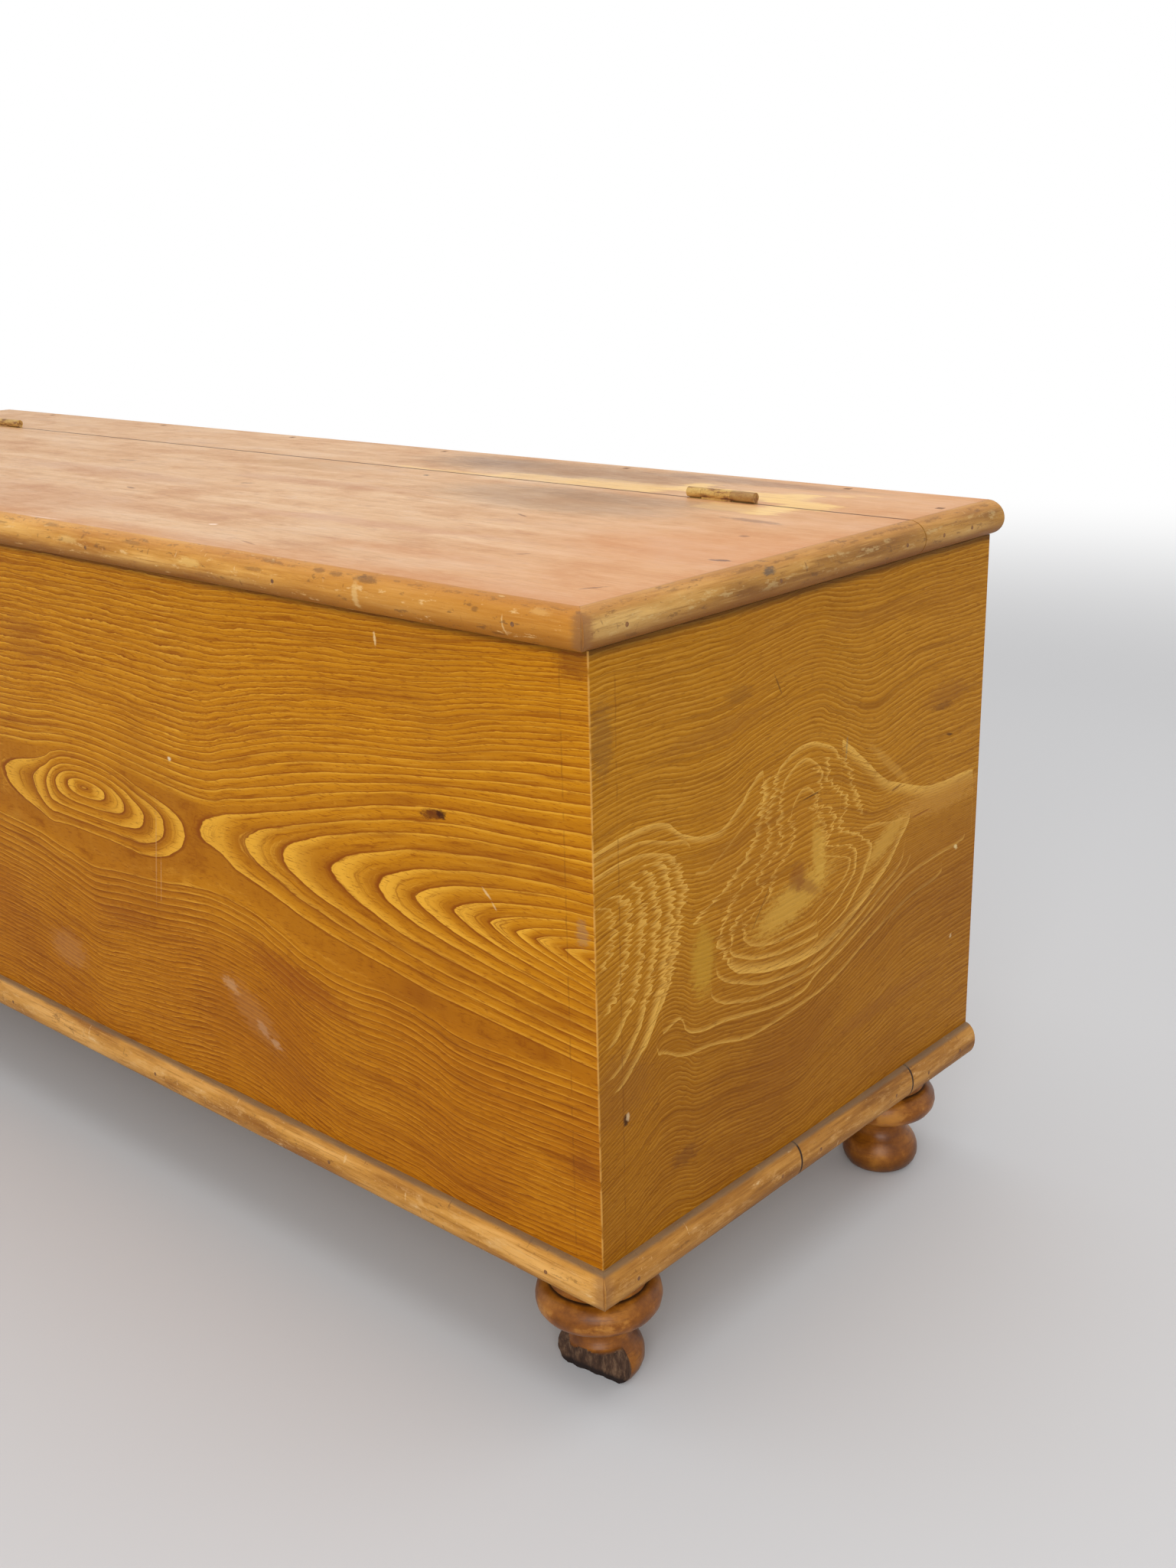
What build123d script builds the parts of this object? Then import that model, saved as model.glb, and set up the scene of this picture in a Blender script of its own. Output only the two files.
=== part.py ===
from build123d import *
import os

# Antique blanket chest: a dovetailed pine box on four turned feet. A narrow rail is fixed along
# the back of its top, and the lid in front of the rail swings up on two butt hinges.
# Millimetres, +X to the right along the length, +Y to the back, +Z up. The origin is on the
# floor, under the middle of the outline seen from above.

# Carcass
carcass_length = 1383.0
carcass_depth = 457.0
face_height = 404.8            # painted face, from the base moulding up to the lid
wall_thickness = 22.0
bottom_thickness = 20.0
bottom_seam = 0.4              # gap between the two bottom boards

# Dovetails: tails on the front and back boards, pins on the end boards
tail_count = 5
pin_width = 14.0               # a pin at its narrow outer side
end_pin_width = 16.0           # the part pins at the top and bottom of each corner
tail_slope = 1 / 6
dovetail_clearance = 0.05

# Lid, rear rail and the half-round nosings round them
top_thickness = 26.0
lid_rest_gap = 0.4             # under the lid, which has warped off the box a little
rail_depth = 111.4
seam_gap = 1.2                 # between the lid and the rail
front_overhang = 17.0
end_overhang = 11.5
nosing_land = 1.0              # flat edge of the nosing before its round begins
joint_gap = 0.2                # at mitres and butt joints of the strips

# Base moulding
moulding_height = 28.0
moulding_depth = 9.4
moulding_land = 2.0
right_joint_front = 208.0      # joints in the pieced right-hand moulding, from the front face
right_joint_rear = 360.0

# Turned feet
foot_height = 82.4             # floor to the bottom boards
foot_inset_end = 36.7          # foot axis, in from the end face
foot_inset_front = 36.2
foot_inset_back = 68.0
collar_radius = 34.0
ring_radius = 43.3
ring_center_height = 60.4
ring_tube_radius = 12.0
neck_radius = 20.0
neck_height = 39.0
bun_radius = 30.5
bun_center_height = 13.5
bun_top_radius = 22.5
bun_top_height = 30.0
foot_base_radius = 23.5
tenon_radius = 12.0
tenon_clearance = 0.1
wedge_top_width = 3.2
wedge_tip_width = 1.0
wedge_depth = 16.0
wedge_clearance = 0.05

# Split in the front right foot, where the front of the bun has broken away
split_from_axis = 9.0
split_turn = 7.2               # degrees about the foot's axis
split_top = 28.0

# Butt hinges, with their leaves let into the seam and their barrels proud of the top
hinge_length = 63.5
hinge_from_right_end = 167.5   # middle of the right hinge, in from the right end face
hinge_from_left_end = 184.0
leaf_thickness = 2.0
leaf_reach = 21.0              # leaf below the top surface
barrel_radius = 3.9
axis_rise = 4.5                # pin axis above the top surface
first_knuckle_end = 13.7       # knuckle ends, from the hinge's left end
middle_knuckle_end = 42.2
knuckle_gap = 0.3
pin_radius = 1.8
pin_clearance = 0.05
pin_chamfer = 0.4
notch_gap = 0.4                # round a knuckle of the other leaf
mortise_gap = 0.3              # at the ends and foot of each leaf's mortise

# Hinge screws
screws_per_leaf = 3
screw_spacing = 22.0
screw_drop = 12.5              # screw line below the top surface
screw_length = 20.0
screw_radius = 1.9
screw_head_radius = 3.6
screw_clearance = 0.1
screw_slot_width = 0.9
screw_slot_depth = 0.7

# Nails and brads
nail_width = 3.4
nail_head_width = 6.0
nail_head_depth = 1.8
nail_clearance = 0.1
bottom_nail_length = 50.0
bottom_nail_count = 8
bottom_nail_inset = 100.0
bottom_end_nail_inset = 70.0   # from the joint and the outer edge of each bottom board
rail_nail_length = 56.0
rail_nail_count = 6
rail_nail_inset = 120.0
brad_radius = 0.9
brad_head_radius = 1.5
brad_head_depth = 0.8
brad_clearance = 0.05
moulding_brad_bite = 7.0       # brad beyond the strip, into the board behind it
nosing_brad_bite = 22.0
front_brad_count = 7
front_brad_inset = 42.0
end_brad_count = 3
piece_brad_inset = 24.0        # from each end of a short strip

# Levels and faces that follow from the sizes above
moulding_top = foot_height + moulding_height
carcass_bottom = foot_height + bottom_thickness
carcass_top = moulding_top + face_height
carcass_height = carcass_top - carcass_bottom
top_level = carcass_top + top_thickness
lid_underside = carcass_top + lid_rest_gap
lid_thickness = top_level - lid_underside
right_face = carcass_length / 2
outline_depth = carcass_depth + front_overhang
back_face = outline_depth / 2
front_face = back_face - carcass_depth
inner_right = right_face - wall_thickness
inner_front = front_face + wall_thickness
inner_back = back_face - wall_thickness
middle_depth = (front_face + back_face) / 2
nosing_width = nosing_land + top_thickness / 2
top_right = right_face + end_overhang - nosing_width
lid_front = front_face - front_overhang + nosing_width
rail_front = back_face - rail_depth
lid_back = rail_front - seam_gap
axis_depth = rail_front - seam_gap / 2
axis_level = top_level + axis_rise
joint_front = front_face + right_joint_front
joint_rear = front_face + right_joint_rear

foot_right = right_face - foot_inset_end
foot_front = front_face + foot_inset_front
foot_back = back_face - foot_inset_back
foot_places = {
    "front_right": (foot_right, foot_front),
    "front_left": (-foot_right, foot_front),
    "rear_right": (foot_right, foot_back),
    "rear_left": (-foot_right, foot_back),
}

hinge_places = {
    "right": right_face - hinge_from_right_end,
    "left": -right_face + hinge_from_left_end,
}
first_screw = (hinge_length - (screws_per_leaf - 1) * screw_spacing) / 2
screw_steps = [first_screw + i * screw_spacing for i in range(screws_per_leaf)]
screw_level = top_level - screw_drop
screw_places = [
    middle - hinge_length / 2 + step for middle in hinge_places.values() for step in screw_steps
]

tail_width = (carcass_height - 2 * end_pin_width - (tail_count - 1) * pin_width) / tail_count
tail_levels = [
    carcass_bottom + end_pin_width + tail_width / 2 + i * (tail_width + pin_width)
    for i in range(tail_count)
]


# Evenly spaced places from first to last, ends included
def spread(first, last, count):
    return [first + (last - first) * i / (count - 1) for i in range(count)]


# Nail places in plan. The bottom nails rise into the walls' lower edges, and the rail nails
# go down into the back board and the end boards.
wall_middle = wall_thickness / 2
bottom_nail_span = right_face - bottom_nail_inset
bottom_end_rows = [
    front_face + bottom_end_nail_inset,
    middle_depth - bottom_end_nail_inset,
    middle_depth + bottom_end_nail_inset,
    back_face - bottom_end_nail_inset,
]
bottom_nail_places = [
    (x, y)
    for x in spread(-bottom_nail_span, bottom_nail_span, bottom_nail_count)
    for y in (front_face + wall_middle, back_face - wall_middle)
] + [(side * (right_face - wall_middle), y) for side in (-1, 1) for y in bottom_end_rows]
rail_nail_span = right_face - rail_nail_inset
rail_nail_places = [
    (x, back_face - wall_middle)
    for x in spread(-rail_nail_span, rail_nail_span, rail_nail_count)
] + [(side * (right_face - wall_middle), (rail_front + back_face) / 2) for side in (-1, 1)]

# Brad places along each strip
front_brads = spread(-right_face + front_brad_inset, right_face - front_brad_inset, front_brad_count)
lid_end_brads = spread(lid_front + piece_brad_inset, lid_back - piece_brad_inset, end_brad_count)
rail_end_brads = [rail_front + piece_brad_inset, back_face - 2 * piece_brad_inset]
left_brads = spread(front_face + piece_brad_inset, back_face - piece_brad_inset, end_brad_count)
right_brads = [
    front_face + piece_brad_inset,
    joint_front - piece_brad_inset,
    joint_front + piece_brad_inset,
    joint_rear - piece_brad_inset,
    joint_rear + piece_brad_inset,
    back_face - piece_brad_inset,
]
moulding_middle = foot_height + moulding_height / 2
nosing_middle = lid_underside + lid_thickness / 2
rail_middle = carcass_top + top_thickness / 2

# Tail outlines at one end of a long board, seen from the front. The side is 1 at the right
# end and -1 at the left, and spare widens them into the sockets that take the tails.
def tail_outlines(side, spare=0.0):
    tip = tail_width / 2 + spare
    root = tip - wall_thickness * tail_slope
    return [
        [
            (side * inner_right, level - root),
            (side * right_face, level - tip),
            (side * right_face, level + tip),
            (side * inner_right, level + root),
        ]
        for level in tail_levels
    ]


# Square nails from head to point, or the holes for them where mode subtracts. Each place is
# over the middle of a head, and rise is 1 for nails driven upwards and -1 for downwards.
def square_nails(places, level, rise, length, mode=Mode.ADD):
    spare = nail_clearance if mode == Mode.SUBTRACT else 0.0
    head = nail_head_width + 2 * spare
    shank = nail_width + 2 * spare
    with Locations(*[(x, y, level + rise * nail_head_depth / 2) for x, y in places]):
        Box(head, head, nail_head_depth, mode=mode)
    with Locations(*[(x, y, level + rise * (length + nail_head_depth) / 2) for x, y in places]):
        Box(shank, shank, length - nail_head_depth, mode=mode)


# Round brads with their heads at the given places, each driven along direction, or the
# holes for them where mode subtracts
def brads(places, direction, length, mode=Mode.ADD):
    spare = brad_clearance if mode == Mode.SUBTRACT else 0.0
    bottom = (Align.CENTER, Align.CENTER, Align.MIN)
    with Locations(*[Plane(origin=place, z_dir=direction) for place in places]):
        Cylinder(brad_radius + spare, length, align=bottom, mode=mode)
        Cylinder(brad_head_radius + spare, brad_head_depth, align=bottom, mode=mode)


# Brads through the half-round strips: their heads lie on the crown of each strip
def strip_brads(face, along, level, side, depth, bite, mode=Mode.ADD):
    places = [(side * (face + depth), y, level) for y in along]
    brads(places, (-side, 0, 0), depth + bite, mode)


def front_strip_brads(face, level, depth, bite, mode=Mode.ADD):
    places = [(x, face - depth, level) for x in front_brads]
    brads(places, (0, 1, 0), depth + bite, mode)


# Half-round strip with its flat back on the line from start to end. The round side faces
# outward, to the left of the run seen from above, and mitred ends are cut at 45 degrees.
def half_round(start, end, height, depth, land, mitred_start=False, mitred_end=False):
    along = (Vector(*end) - Vector(*start)).normalized()
    outward = Vector(0, 0, 1).cross(along)
    first = Vector(*start) - along * (depth if mitred_start else 0.0)
    last = Vector(*end) + along * (depth if mitred_end else 0.0)
    with BuildPart() as strip:
        with BuildSketch(Plane(origin=first, x_dir=outward, z_dir=along)):
            with BuildLine():
                Line((0, 0), (land, 0))
                ThreePointArc((land, 0), (depth, height / 2), (land, height))
                Line((land, height), (0, height))
                Line((0, height), (0, 0))
            make_face()
        extrude(amount=(last - first).length)
        if mitred_start:
            cut = Vector(*start) + along * (joint_gap / 2)
            split(bisect_by=Plane(origin=cut, z_dir=-along - outward), keep=Keep.BOTTOM)
        if mitred_end:
            cut = Vector(*end) - along * (joint_gap / 2)
            split(bisect_by=Plane(origin=cut, z_dir=along - outward), keep=Keep.BOTTOM)
    return strip.part


# Countersunk screws with their heads flush with the leaf, driven along direction, or the
# holes for them where mode subtracts
def hinge_screws(places, face, direction, mode=Mode.ADD):
    spare = screw_clearance if mode == Mode.SUBTRACT else 0.0
    bottom = (Align.CENTER, Align.CENTER, Align.MIN)
    with Locations(*[Plane(origin=(x, face, screw_level), z_dir=direction) for x in places]):
        Cylinder(screw_radius + spare, screw_length + spare, align=bottom, mode=mode)
        Cone(
            screw_head_radius + spare, screw_radius + spare, leaf_thickness,
            align=bottom, mode=mode,
        )


# Box between two opposite corners
def block(low, high, mode=Mode.ADD):
    with Locations(low):
        Box(
            high[0] - low[0], high[1] - low[1], high[2] - low[2],
            align=(Align.MIN, Align.MIN, Align.MIN), mode=mode,
        )


os.makedirs("parts", exist_ok=True)

# Front board, with tails at both ends
with BuildPart() as front_board:
    with BuildSketch(Plane.XZ.offset(-front_face)):
        with Locations((0, carcass_bottom)):
            Rectangle(2 * inner_right, carcass_height, align=(Align.CENTER, Align.MIN))
        for side in (-1, 1):
            for outline in tail_outlines(side):
                Polygon(*outline, align=None)
    extrude(amount=-wall_thickness)
    square_nails(bottom_nail_places, foot_height, 1, bottom_nail_length, Mode.SUBTRACT)
front_board.part.label = "front_board"
export_step(front_board.part, "parts/front_board.step")

# Back board, the same as the front board but holding the rail's nails as well
with BuildPart() as back_board:
    with BuildSketch(Plane.XZ.offset(-inner_back)):
        with Locations((0, carcass_bottom)):
            Rectangle(2 * inner_right, carcass_height, align=(Align.CENTER, Align.MIN))
        for side in (-1, 1):
            for outline in tail_outlines(side):
                Polygon(*outline, align=None)
    extrude(amount=-wall_thickness)
    square_nails(bottom_nail_places, foot_height, 1, bottom_nail_length, Mode.SUBTRACT)
    square_nails(rail_nail_places, top_level, -1, rail_nail_length, Mode.SUBTRACT)
back_board.part.label = "back_board"
export_step(back_board.part, "parts/back_board.step")

# End boards, with sockets that leave the pins between the tails
for side, name in ((1, "right"), (-1, "left")):
    with BuildPart() as end_board:
        with Locations((side * (right_face - wall_middle), middle_depth, carcass_bottom)):
            Box(
                wall_thickness, carcass_depth, carcass_height,
                align=(Align.CENTER, Align.CENTER, Align.MIN),
            )
        for face in (front_face, inner_back):
            with BuildSketch(Plane.XZ.offset(-face)):
                for outline in tail_outlines(side, dovetail_clearance):
                    Polygon(*outline, align=None)
            extrude(amount=-wall_thickness, mode=Mode.SUBTRACT)
        square_nails(bottom_nail_places, foot_height, 1, bottom_nail_length, Mode.SUBTRACT)
        square_nails(rail_nail_places, top_level, -1, rail_nail_length, Mode.SUBTRACT)
    end_board.part.label = f"end_board_{name}"
    export_step(end_board.part, f"parts/end_board_{name}.step")

# Two bottom boards, nailed up under the walls, with their edges behind the base moulding
bottom_rows = {
    "front": (front_face, middle_depth - bottom_seam / 2),
    "rear": (middle_depth + bottom_seam / 2, back_face),
}
for name, (near, far) in bottom_rows.items():
    with BuildPart() as bottom_board:
        block((-right_face, near, foot_height), (right_face, far, carcass_bottom))
        for x, y in foot_places.values():
            if near < y < far:
                with Locations((x, y, foot_height + bottom_thickness / 2)):
                    Cylinder(tenon_radius + tenon_clearance, bottom_thickness, mode=Mode.SUBTRACT)
        rows = [place for place in bottom_nail_places if near < place[1] < far]
        square_nails(rows, foot_height, 1, bottom_nail_length, Mode.SUBTRACT)
        front_strip_brads(front_face, moulding_middle, moulding_depth, moulding_brad_bite, Mode.SUBTRACT)
        for side, along in ((1, right_brads), (-1, left_brads)):
            strip_brads(
                right_face, along, moulding_middle, side,
                moulding_depth, moulding_brad_bite, Mode.SUBTRACT,
            )
    bottom_board.part.label = f"bottom_board_{name}"
    export_step(bottom_board.part, f"parts/bottom_board_{name}.step")

# Base moulding: the front and left strips are whole, and the right one is pieced from three.
# Each strip runs clockwise seen from above, so its round side faces out.
moulding_runs = {
    "front": ((right_face, front_face), (-right_face, front_face), True, True),
    "left": ((-right_face, front_face), (-right_face, back_face), True, False),
    "right_rear": ((right_face, back_face), (right_face, joint_rear + joint_gap / 2), False, False),
    "right_middle": (
        (right_face, joint_rear - joint_gap / 2),
        (right_face, joint_front + joint_gap / 2),
        False, False,
    ),
    "right_front": ((right_face, joint_front - joint_gap / 2), (right_face, front_face), False, True),
}
for name, (start, end, mitred_start, mitred_end) in moulding_runs.items():
    with BuildPart() as base_moulding:
        add(half_round(
            (*start, foot_height), (*end, foot_height),
            moulding_height, moulding_depth, moulding_land, mitred_start, mitred_end,
        ))
        if name == "front":
            front_strip_brads(
                front_face, moulding_middle, moulding_depth, moulding_brad_bite, Mode.SUBTRACT
            )
        else:
            side, along = (-1, left_brads) if name == "left" else (1, right_brads)
            strip_brads(
                right_face, along, moulding_middle, side,
                moulding_depth, moulding_brad_bite, Mode.SUBTRACT,
            )
    base_moulding.part.label = f"base_moulding_{name}"
    export_step(base_moulding.part, f"parts/base_moulding_{name}.step")

# Turned feet: collar, ring, neck and bun, with a wedged tenon up through the bottom board
collar_foot = ring_center_height + (
    ring_tube_radius**2 - (collar_radius - ring_radius + ring_tube_radius) ** 2
) ** 0.5
for name, (x, y) in foot_places.items():
    with BuildPart() as foot:
        with BuildSketch(Plane.XZ):
            with BuildLine():
                Line((0, 0), (foot_base_radius, 0))
                ThreePointArc(
                    (foot_base_radius, 0),
                    (bun_radius, bun_center_height),
                    (bun_top_radius, bun_top_height),
                )
                ThreePointArc(
                    (bun_top_radius, bun_top_height),
                    (neck_radius, neck_height),
                    (ring_radius - ring_tube_radius, ring_center_height - ring_tube_radius),
                )
                ThreePointArc(
                    (ring_radius - ring_tube_radius, ring_center_height - ring_tube_radius),
                    (ring_radius, ring_center_height),
                    (collar_radius, collar_foot),
                )
                Polyline(
                    (collar_radius, collar_foot), (collar_radius, foot_height),
                    (tenon_radius, foot_height), (tenon_radius, carcass_bottom),
                    (0, carcass_bottom), (0, 0),
                )
            make_face()
        revolve(axis=Axis.Z)
        with BuildSketch(Plane.XZ.offset(-tenon_radius)):
            Polygon(
                (-wedge_tip_width / 2 - wedge_clearance, carcass_bottom - wedge_depth - wedge_clearance),
                (wedge_tip_width / 2 + wedge_clearance, carcass_bottom - wedge_depth - wedge_clearance),
                (wedge_top_width / 2 + wedge_clearance, carcass_bottom),
                (-wedge_top_width / 2 - wedge_clearance, carcass_bottom),
                align=None,
            )
        extrude(amount=2 * tenon_radius, mode=Mode.SUBTRACT)
        if name == "front_right":
            with BuildSketch(Plane.XY.rotated((0, 0, split_turn))):
                with Locations((0, -split_from_axis)):
                    Rectangle(3 * bun_radius, 2 * bun_radius, align=(Align.CENTER, Align.MAX))
            extrude(amount=split_top, mode=Mode.SUBTRACT)
    foot.part.label = f"foot_{name}"
    export_step(foot.part.moved(Location((x, y, 0))), f"parts/foot_{name}.step")

# Wedges that spread the four tenons
with BuildPart() as foot_wedges:
    for x, y in foot_places.values():
        with BuildSketch(Plane.XZ.offset(-y - tenon_radius)):
            Polygon(
                (x - wedge_tip_width / 2, carcass_bottom - wedge_depth),
                (x + wedge_tip_width / 2, carcass_bottom - wedge_depth),
                (x + wedge_top_width / 2, carcass_bottom),
                (x - wedge_top_width / 2, carcass_bottom),
                align=None,
            )
        extrude(amount=2 * tenon_radius)
foot_wedges.part.label = "foot_wedges"
export_step(foot_wedges.part, "parts/foot_wedges.step")

# Lid board, mortised along its back edge for the lid leaves
with BuildPart() as lid_board:
    block((-top_right, lid_front, lid_underside), (top_right, lid_back, top_level))
    for middle in hinge_places.values():
        block(
            (middle - hinge_length / 2 - mortise_gap, lid_back - leaf_thickness,
             top_level - leaf_reach - mortise_gap),
            (middle + hinge_length / 2 + mortise_gap, lid_back, top_level),
            Mode.SUBTRACT,
        )
    hinge_screws(screw_places, lid_back, (0, -1, 0), Mode.SUBTRACT)
    front_strip_brads(lid_front, nosing_middle, nosing_width, nosing_brad_bite, Mode.SUBTRACT)
    for side in (-1, 1):
        strip_brads(
            top_right, lid_end_brads, nosing_middle, side,
            nosing_width, nosing_brad_bite, Mode.SUBTRACT,
        )
lid_board.part.label = "lid_board"
export_step(lid_board.part, "parts/lid_board.step")

# Lid nosings: along the front and both ends, mitred at the front corners
lid_land = nosing_width - lid_thickness / 2
with BuildPart() as lid_nosing_front:
    add(half_round(
        (top_right, lid_front, lid_underside), (-top_right, lid_front, lid_underside),
        lid_thickness, nosing_width, lid_land, True, True,
    ))
    front_strip_brads(lid_front, nosing_middle, nosing_width, nosing_brad_bite, Mode.SUBTRACT)
lid_nosing_front.part.label = "lid_nosing_front"
export_step(lid_nosing_front.part, "parts/lid_nosing_front.step")

lid_end_runs = {
    "right": (1, (top_right, lid_back), (top_right, lid_front), False, True),
    "left": (-1, (-top_right, lid_front), (-top_right, lid_back), True, False),
}
for name, (side, start, end, mitred_start, mitred_end) in lid_end_runs.items():
    with BuildPart() as lid_nosing:
        add(half_round(
            (*start, lid_underside), (*end, lid_underside),
            lid_thickness, nosing_width, lid_land, mitred_start, mitred_end,
        ))
        strip_brads(
            top_right, lid_end_brads, nosing_middle, side,
            nosing_width, nosing_brad_bite, Mode.SUBTRACT,
        )
    lid_nosing.part.label = f"lid_nosing_{name}"
    export_step(lid_nosing.part, f"parts/lid_nosing_{name}.step")

# Rear rail, nailed down on the back board and the end boards
with BuildPart() as rear_rail:
    block((-top_right, rail_front, carcass_top), (top_right, back_face, top_level))
    for middle in hinge_places.values():
        block(
            (middle - hinge_length / 2 - mortise_gap, rail_front,
             top_level - leaf_reach - mortise_gap),
            (middle + hinge_length / 2 + mortise_gap, rail_front + leaf_thickness, top_level),
            Mode.SUBTRACT,
        )
    hinge_screws(screw_places, rail_front, (0, 1, 0), Mode.SUBTRACT)
    square_nails(rail_nail_places, top_level, -1, rail_nail_length, Mode.SUBTRACT)
    for side in (-1, 1):
        strip_brads(
            top_right, rail_end_brads, rail_middle, side,
            nosing_width, nosing_brad_bite, Mode.SUBTRACT,
        )
rear_rail.part.label = "rear_rail"
export_step(rear_rail.part, "parts/rear_rail.step")

rail_end_runs = {
    "right": (1, (top_right, back_face), (top_right, rail_front)),
    "left": (-1, (-top_right, rail_front), (-top_right, back_face)),
}
for name, (side, start, end) in rail_end_runs.items():
    with BuildPart() as rail_nosing:
        add(half_round(
            (*start, carcass_top), (*end, carcass_top),
            top_thickness, nosing_width, nosing_land,
        ))
        strip_brads(
            top_right, rail_end_brads, rail_middle, side,
            nosing_width, nosing_brad_bite, Mode.SUBTRACT,
        )
    rail_nosing.part.label = f"rail_nosing_{name}"
    export_step(rail_nosing.part, f"parts/rail_nosing_{name}.step")

# Hinge leaves. The rail leaf has the two outer knuckles and the lid leaf the middle one, and
# each leaf is cut away round the other's knuckles.
knuckles = {
    "rail": ((0.0, first_knuckle_end), (middle_knuckle_end, hinge_length)),
    "lid": ((first_knuckle_end + knuckle_gap, middle_knuckle_end - knuckle_gap),),
}
leaf_faces = {
    "rail": (rail_front, rail_front + leaf_thickness, (0, 1, 0)),
    "lid": (lid_back - leaf_thickness, lid_back, (0, -1, 0)),
}
notch_level = axis_level - barrel_radius - notch_gap
for owner, ranges in knuckles.items():
    near, far, drive = leaf_faces[owner]
    head_face = near if owner == "rail" else far
    for name, middle in hinge_places.items():
        left_end = middle - hinge_length / 2
        with BuildPart() as hinge_leaf:
            block(
                (left_end, near, top_level - leaf_reach),
                (left_end + hinge_length, far, notch_level),
            )
            for low, high in ranges:
                block((left_end + low, near, notch_level), (left_end + high, far, axis_level))
                with Locations(Plane(origin=(left_end + low, axis_depth, axis_level), z_dir=(1, 0, 0))):
                    Cylinder(
                        barrel_radius, high - low, align=(Align.CENTER, Align.CENTER, Align.MIN)
                    )
            with Locations(Plane(origin=(middle, axis_depth, axis_level), z_dir=(1, 0, 0))):
                Cylinder(pin_radius + pin_clearance, hinge_length, mode=Mode.SUBTRACT)
            hinge_screws([left_end + step for step in screw_steps], head_face, drive, Mode.SUBTRACT)
        hinge_leaf.part.label = f"hinge_leaf_{owner}_{name}"
        export_step(hinge_leaf.part, f"parts/hinge_leaf_{owner}_{name}.step")

# Hinge pins
for name, middle in hinge_places.items():
    with BuildPart() as hinge_pin:
        with Locations(Plane(origin=(middle, axis_depth, axis_level), z_dir=(1, 0, 0))):
            Cylinder(pin_radius, hinge_length)
        chamfer(hinge_pin.edges().filter_by(GeomType.CIRCLE), pin_chamfer)
    hinge_pin.part.label = f"hinge_pin_{name}"
    export_step(hinge_pin.part, f"parts/hinge_pin_{name}.step")

# Hinge screws, six in each of the two groups, with a slot across every head
screw_groups = {"lid": (lid_back, (0, -1, 0)), "rail": (rail_front, (0, 1, 0))}
for name, (face, drive) in screw_groups.items():
    with BuildPart() as screws:
        hinge_screws(screw_places, face, drive)
        with Locations(*[(x, face, screw_level) for x in screw_places]):
            Box(
                2 * screw_head_radius, 2 * screw_slot_depth, screw_slot_width,
                mode=Mode.SUBTRACT,
            )
    screws.part.label = f"hinge_screws_{name}"
    export_step(screws.part, f"parts/hinge_screws_{name}.step")

# Nails under the bottom boards and in the rail
with BuildPart() as bottom_nails:
    square_nails(bottom_nail_places, foot_height, 1, bottom_nail_length)
bottom_nails.part.label = "bottom_nails"
export_step(bottom_nails.part, "parts/bottom_nails.step")

with BuildPart() as rail_nails:
    square_nails(rail_nail_places, top_level, -1, rail_nail_length)
rail_nails.part.label = "rail_nails"
export_step(rail_nails.part, "parts/rail_nails.step")

# Brads in the base moulding and in the nosings of the lid and the rail
with BuildPart() as moulding_brads:
    front_strip_brads(front_face, moulding_middle, moulding_depth, moulding_brad_bite)
    for side, along in ((1, right_brads), (-1, left_brads)):
        strip_brads(right_face, along, moulding_middle, side, moulding_depth, moulding_brad_bite)
moulding_brads.part.label = "moulding_brads"
export_step(moulding_brads.part, "parts/moulding_brads.step")

with BuildPart() as lid_nosing_brads:
    front_strip_brads(lid_front, nosing_middle, nosing_width, nosing_brad_bite)
    for side in (-1, 1):
        strip_brads(top_right, lid_end_brads, nosing_middle, side, nosing_width, nosing_brad_bite)
lid_nosing_brads.part.label = "lid_nosing_brads"
export_step(lid_nosing_brads.part, "parts/lid_nosing_brads.step")

with BuildPart() as rail_nosing_brads:
    for side in (-1, 1):
        strip_brads(top_right, rail_end_brads, rail_middle, side, nosing_width, nosing_brad_bite)
rail_nosing_brads.part.label = "rail_nosing_brads"
export_step(rail_nosing_brads.part, "parts/rail_nosing_brads.step")
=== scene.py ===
import math

import bmesh
import bpy
from mathutils import Euler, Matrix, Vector, noise


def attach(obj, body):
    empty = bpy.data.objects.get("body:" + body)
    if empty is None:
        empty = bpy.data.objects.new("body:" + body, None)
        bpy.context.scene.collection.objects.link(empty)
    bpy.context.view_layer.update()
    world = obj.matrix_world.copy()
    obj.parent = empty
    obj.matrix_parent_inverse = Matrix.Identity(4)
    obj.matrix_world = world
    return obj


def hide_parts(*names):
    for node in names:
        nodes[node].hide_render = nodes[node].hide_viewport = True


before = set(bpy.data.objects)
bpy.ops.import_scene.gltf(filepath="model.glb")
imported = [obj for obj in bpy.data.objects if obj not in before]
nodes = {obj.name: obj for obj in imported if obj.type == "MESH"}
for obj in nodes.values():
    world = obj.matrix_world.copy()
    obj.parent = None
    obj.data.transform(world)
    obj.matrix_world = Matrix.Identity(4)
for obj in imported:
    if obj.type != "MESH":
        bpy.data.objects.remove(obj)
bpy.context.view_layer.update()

mm = 0.001

# The chest's main planes in mm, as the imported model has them
chest = {
    "front": -220.0,
    "back": 237.0,
    "end": 691.5,
    "boxFloor": 82.4,
    "mouldingTop": 110.4,
    "top": 541.2,
    "topUnder": 515.6,
    "topEnd": 689.0,
    "lidFront": -223.0,
    "lidBack": 124.4,
    "seam": 125.0,
    "railFront": 125.6,
    "rightJoints": (-12.0, 140.0),  # butt joints of the right-hand moulding
    # beyond these a board shows its outside
    "endFace": 691.2,
    "frontFace": 219.8,
    "topFace": 541.0,
}


def paint(red, green, blue):
    # screen values 0-255 to the shader's linear colour
    def linear(part):
        part /= 255
        return part / 12.92 if part <= 0.04045 else ((part + 0.055) / 1.055) ** 2.4
    return linear(red), linear(green), linear(blue), 1.0


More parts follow.
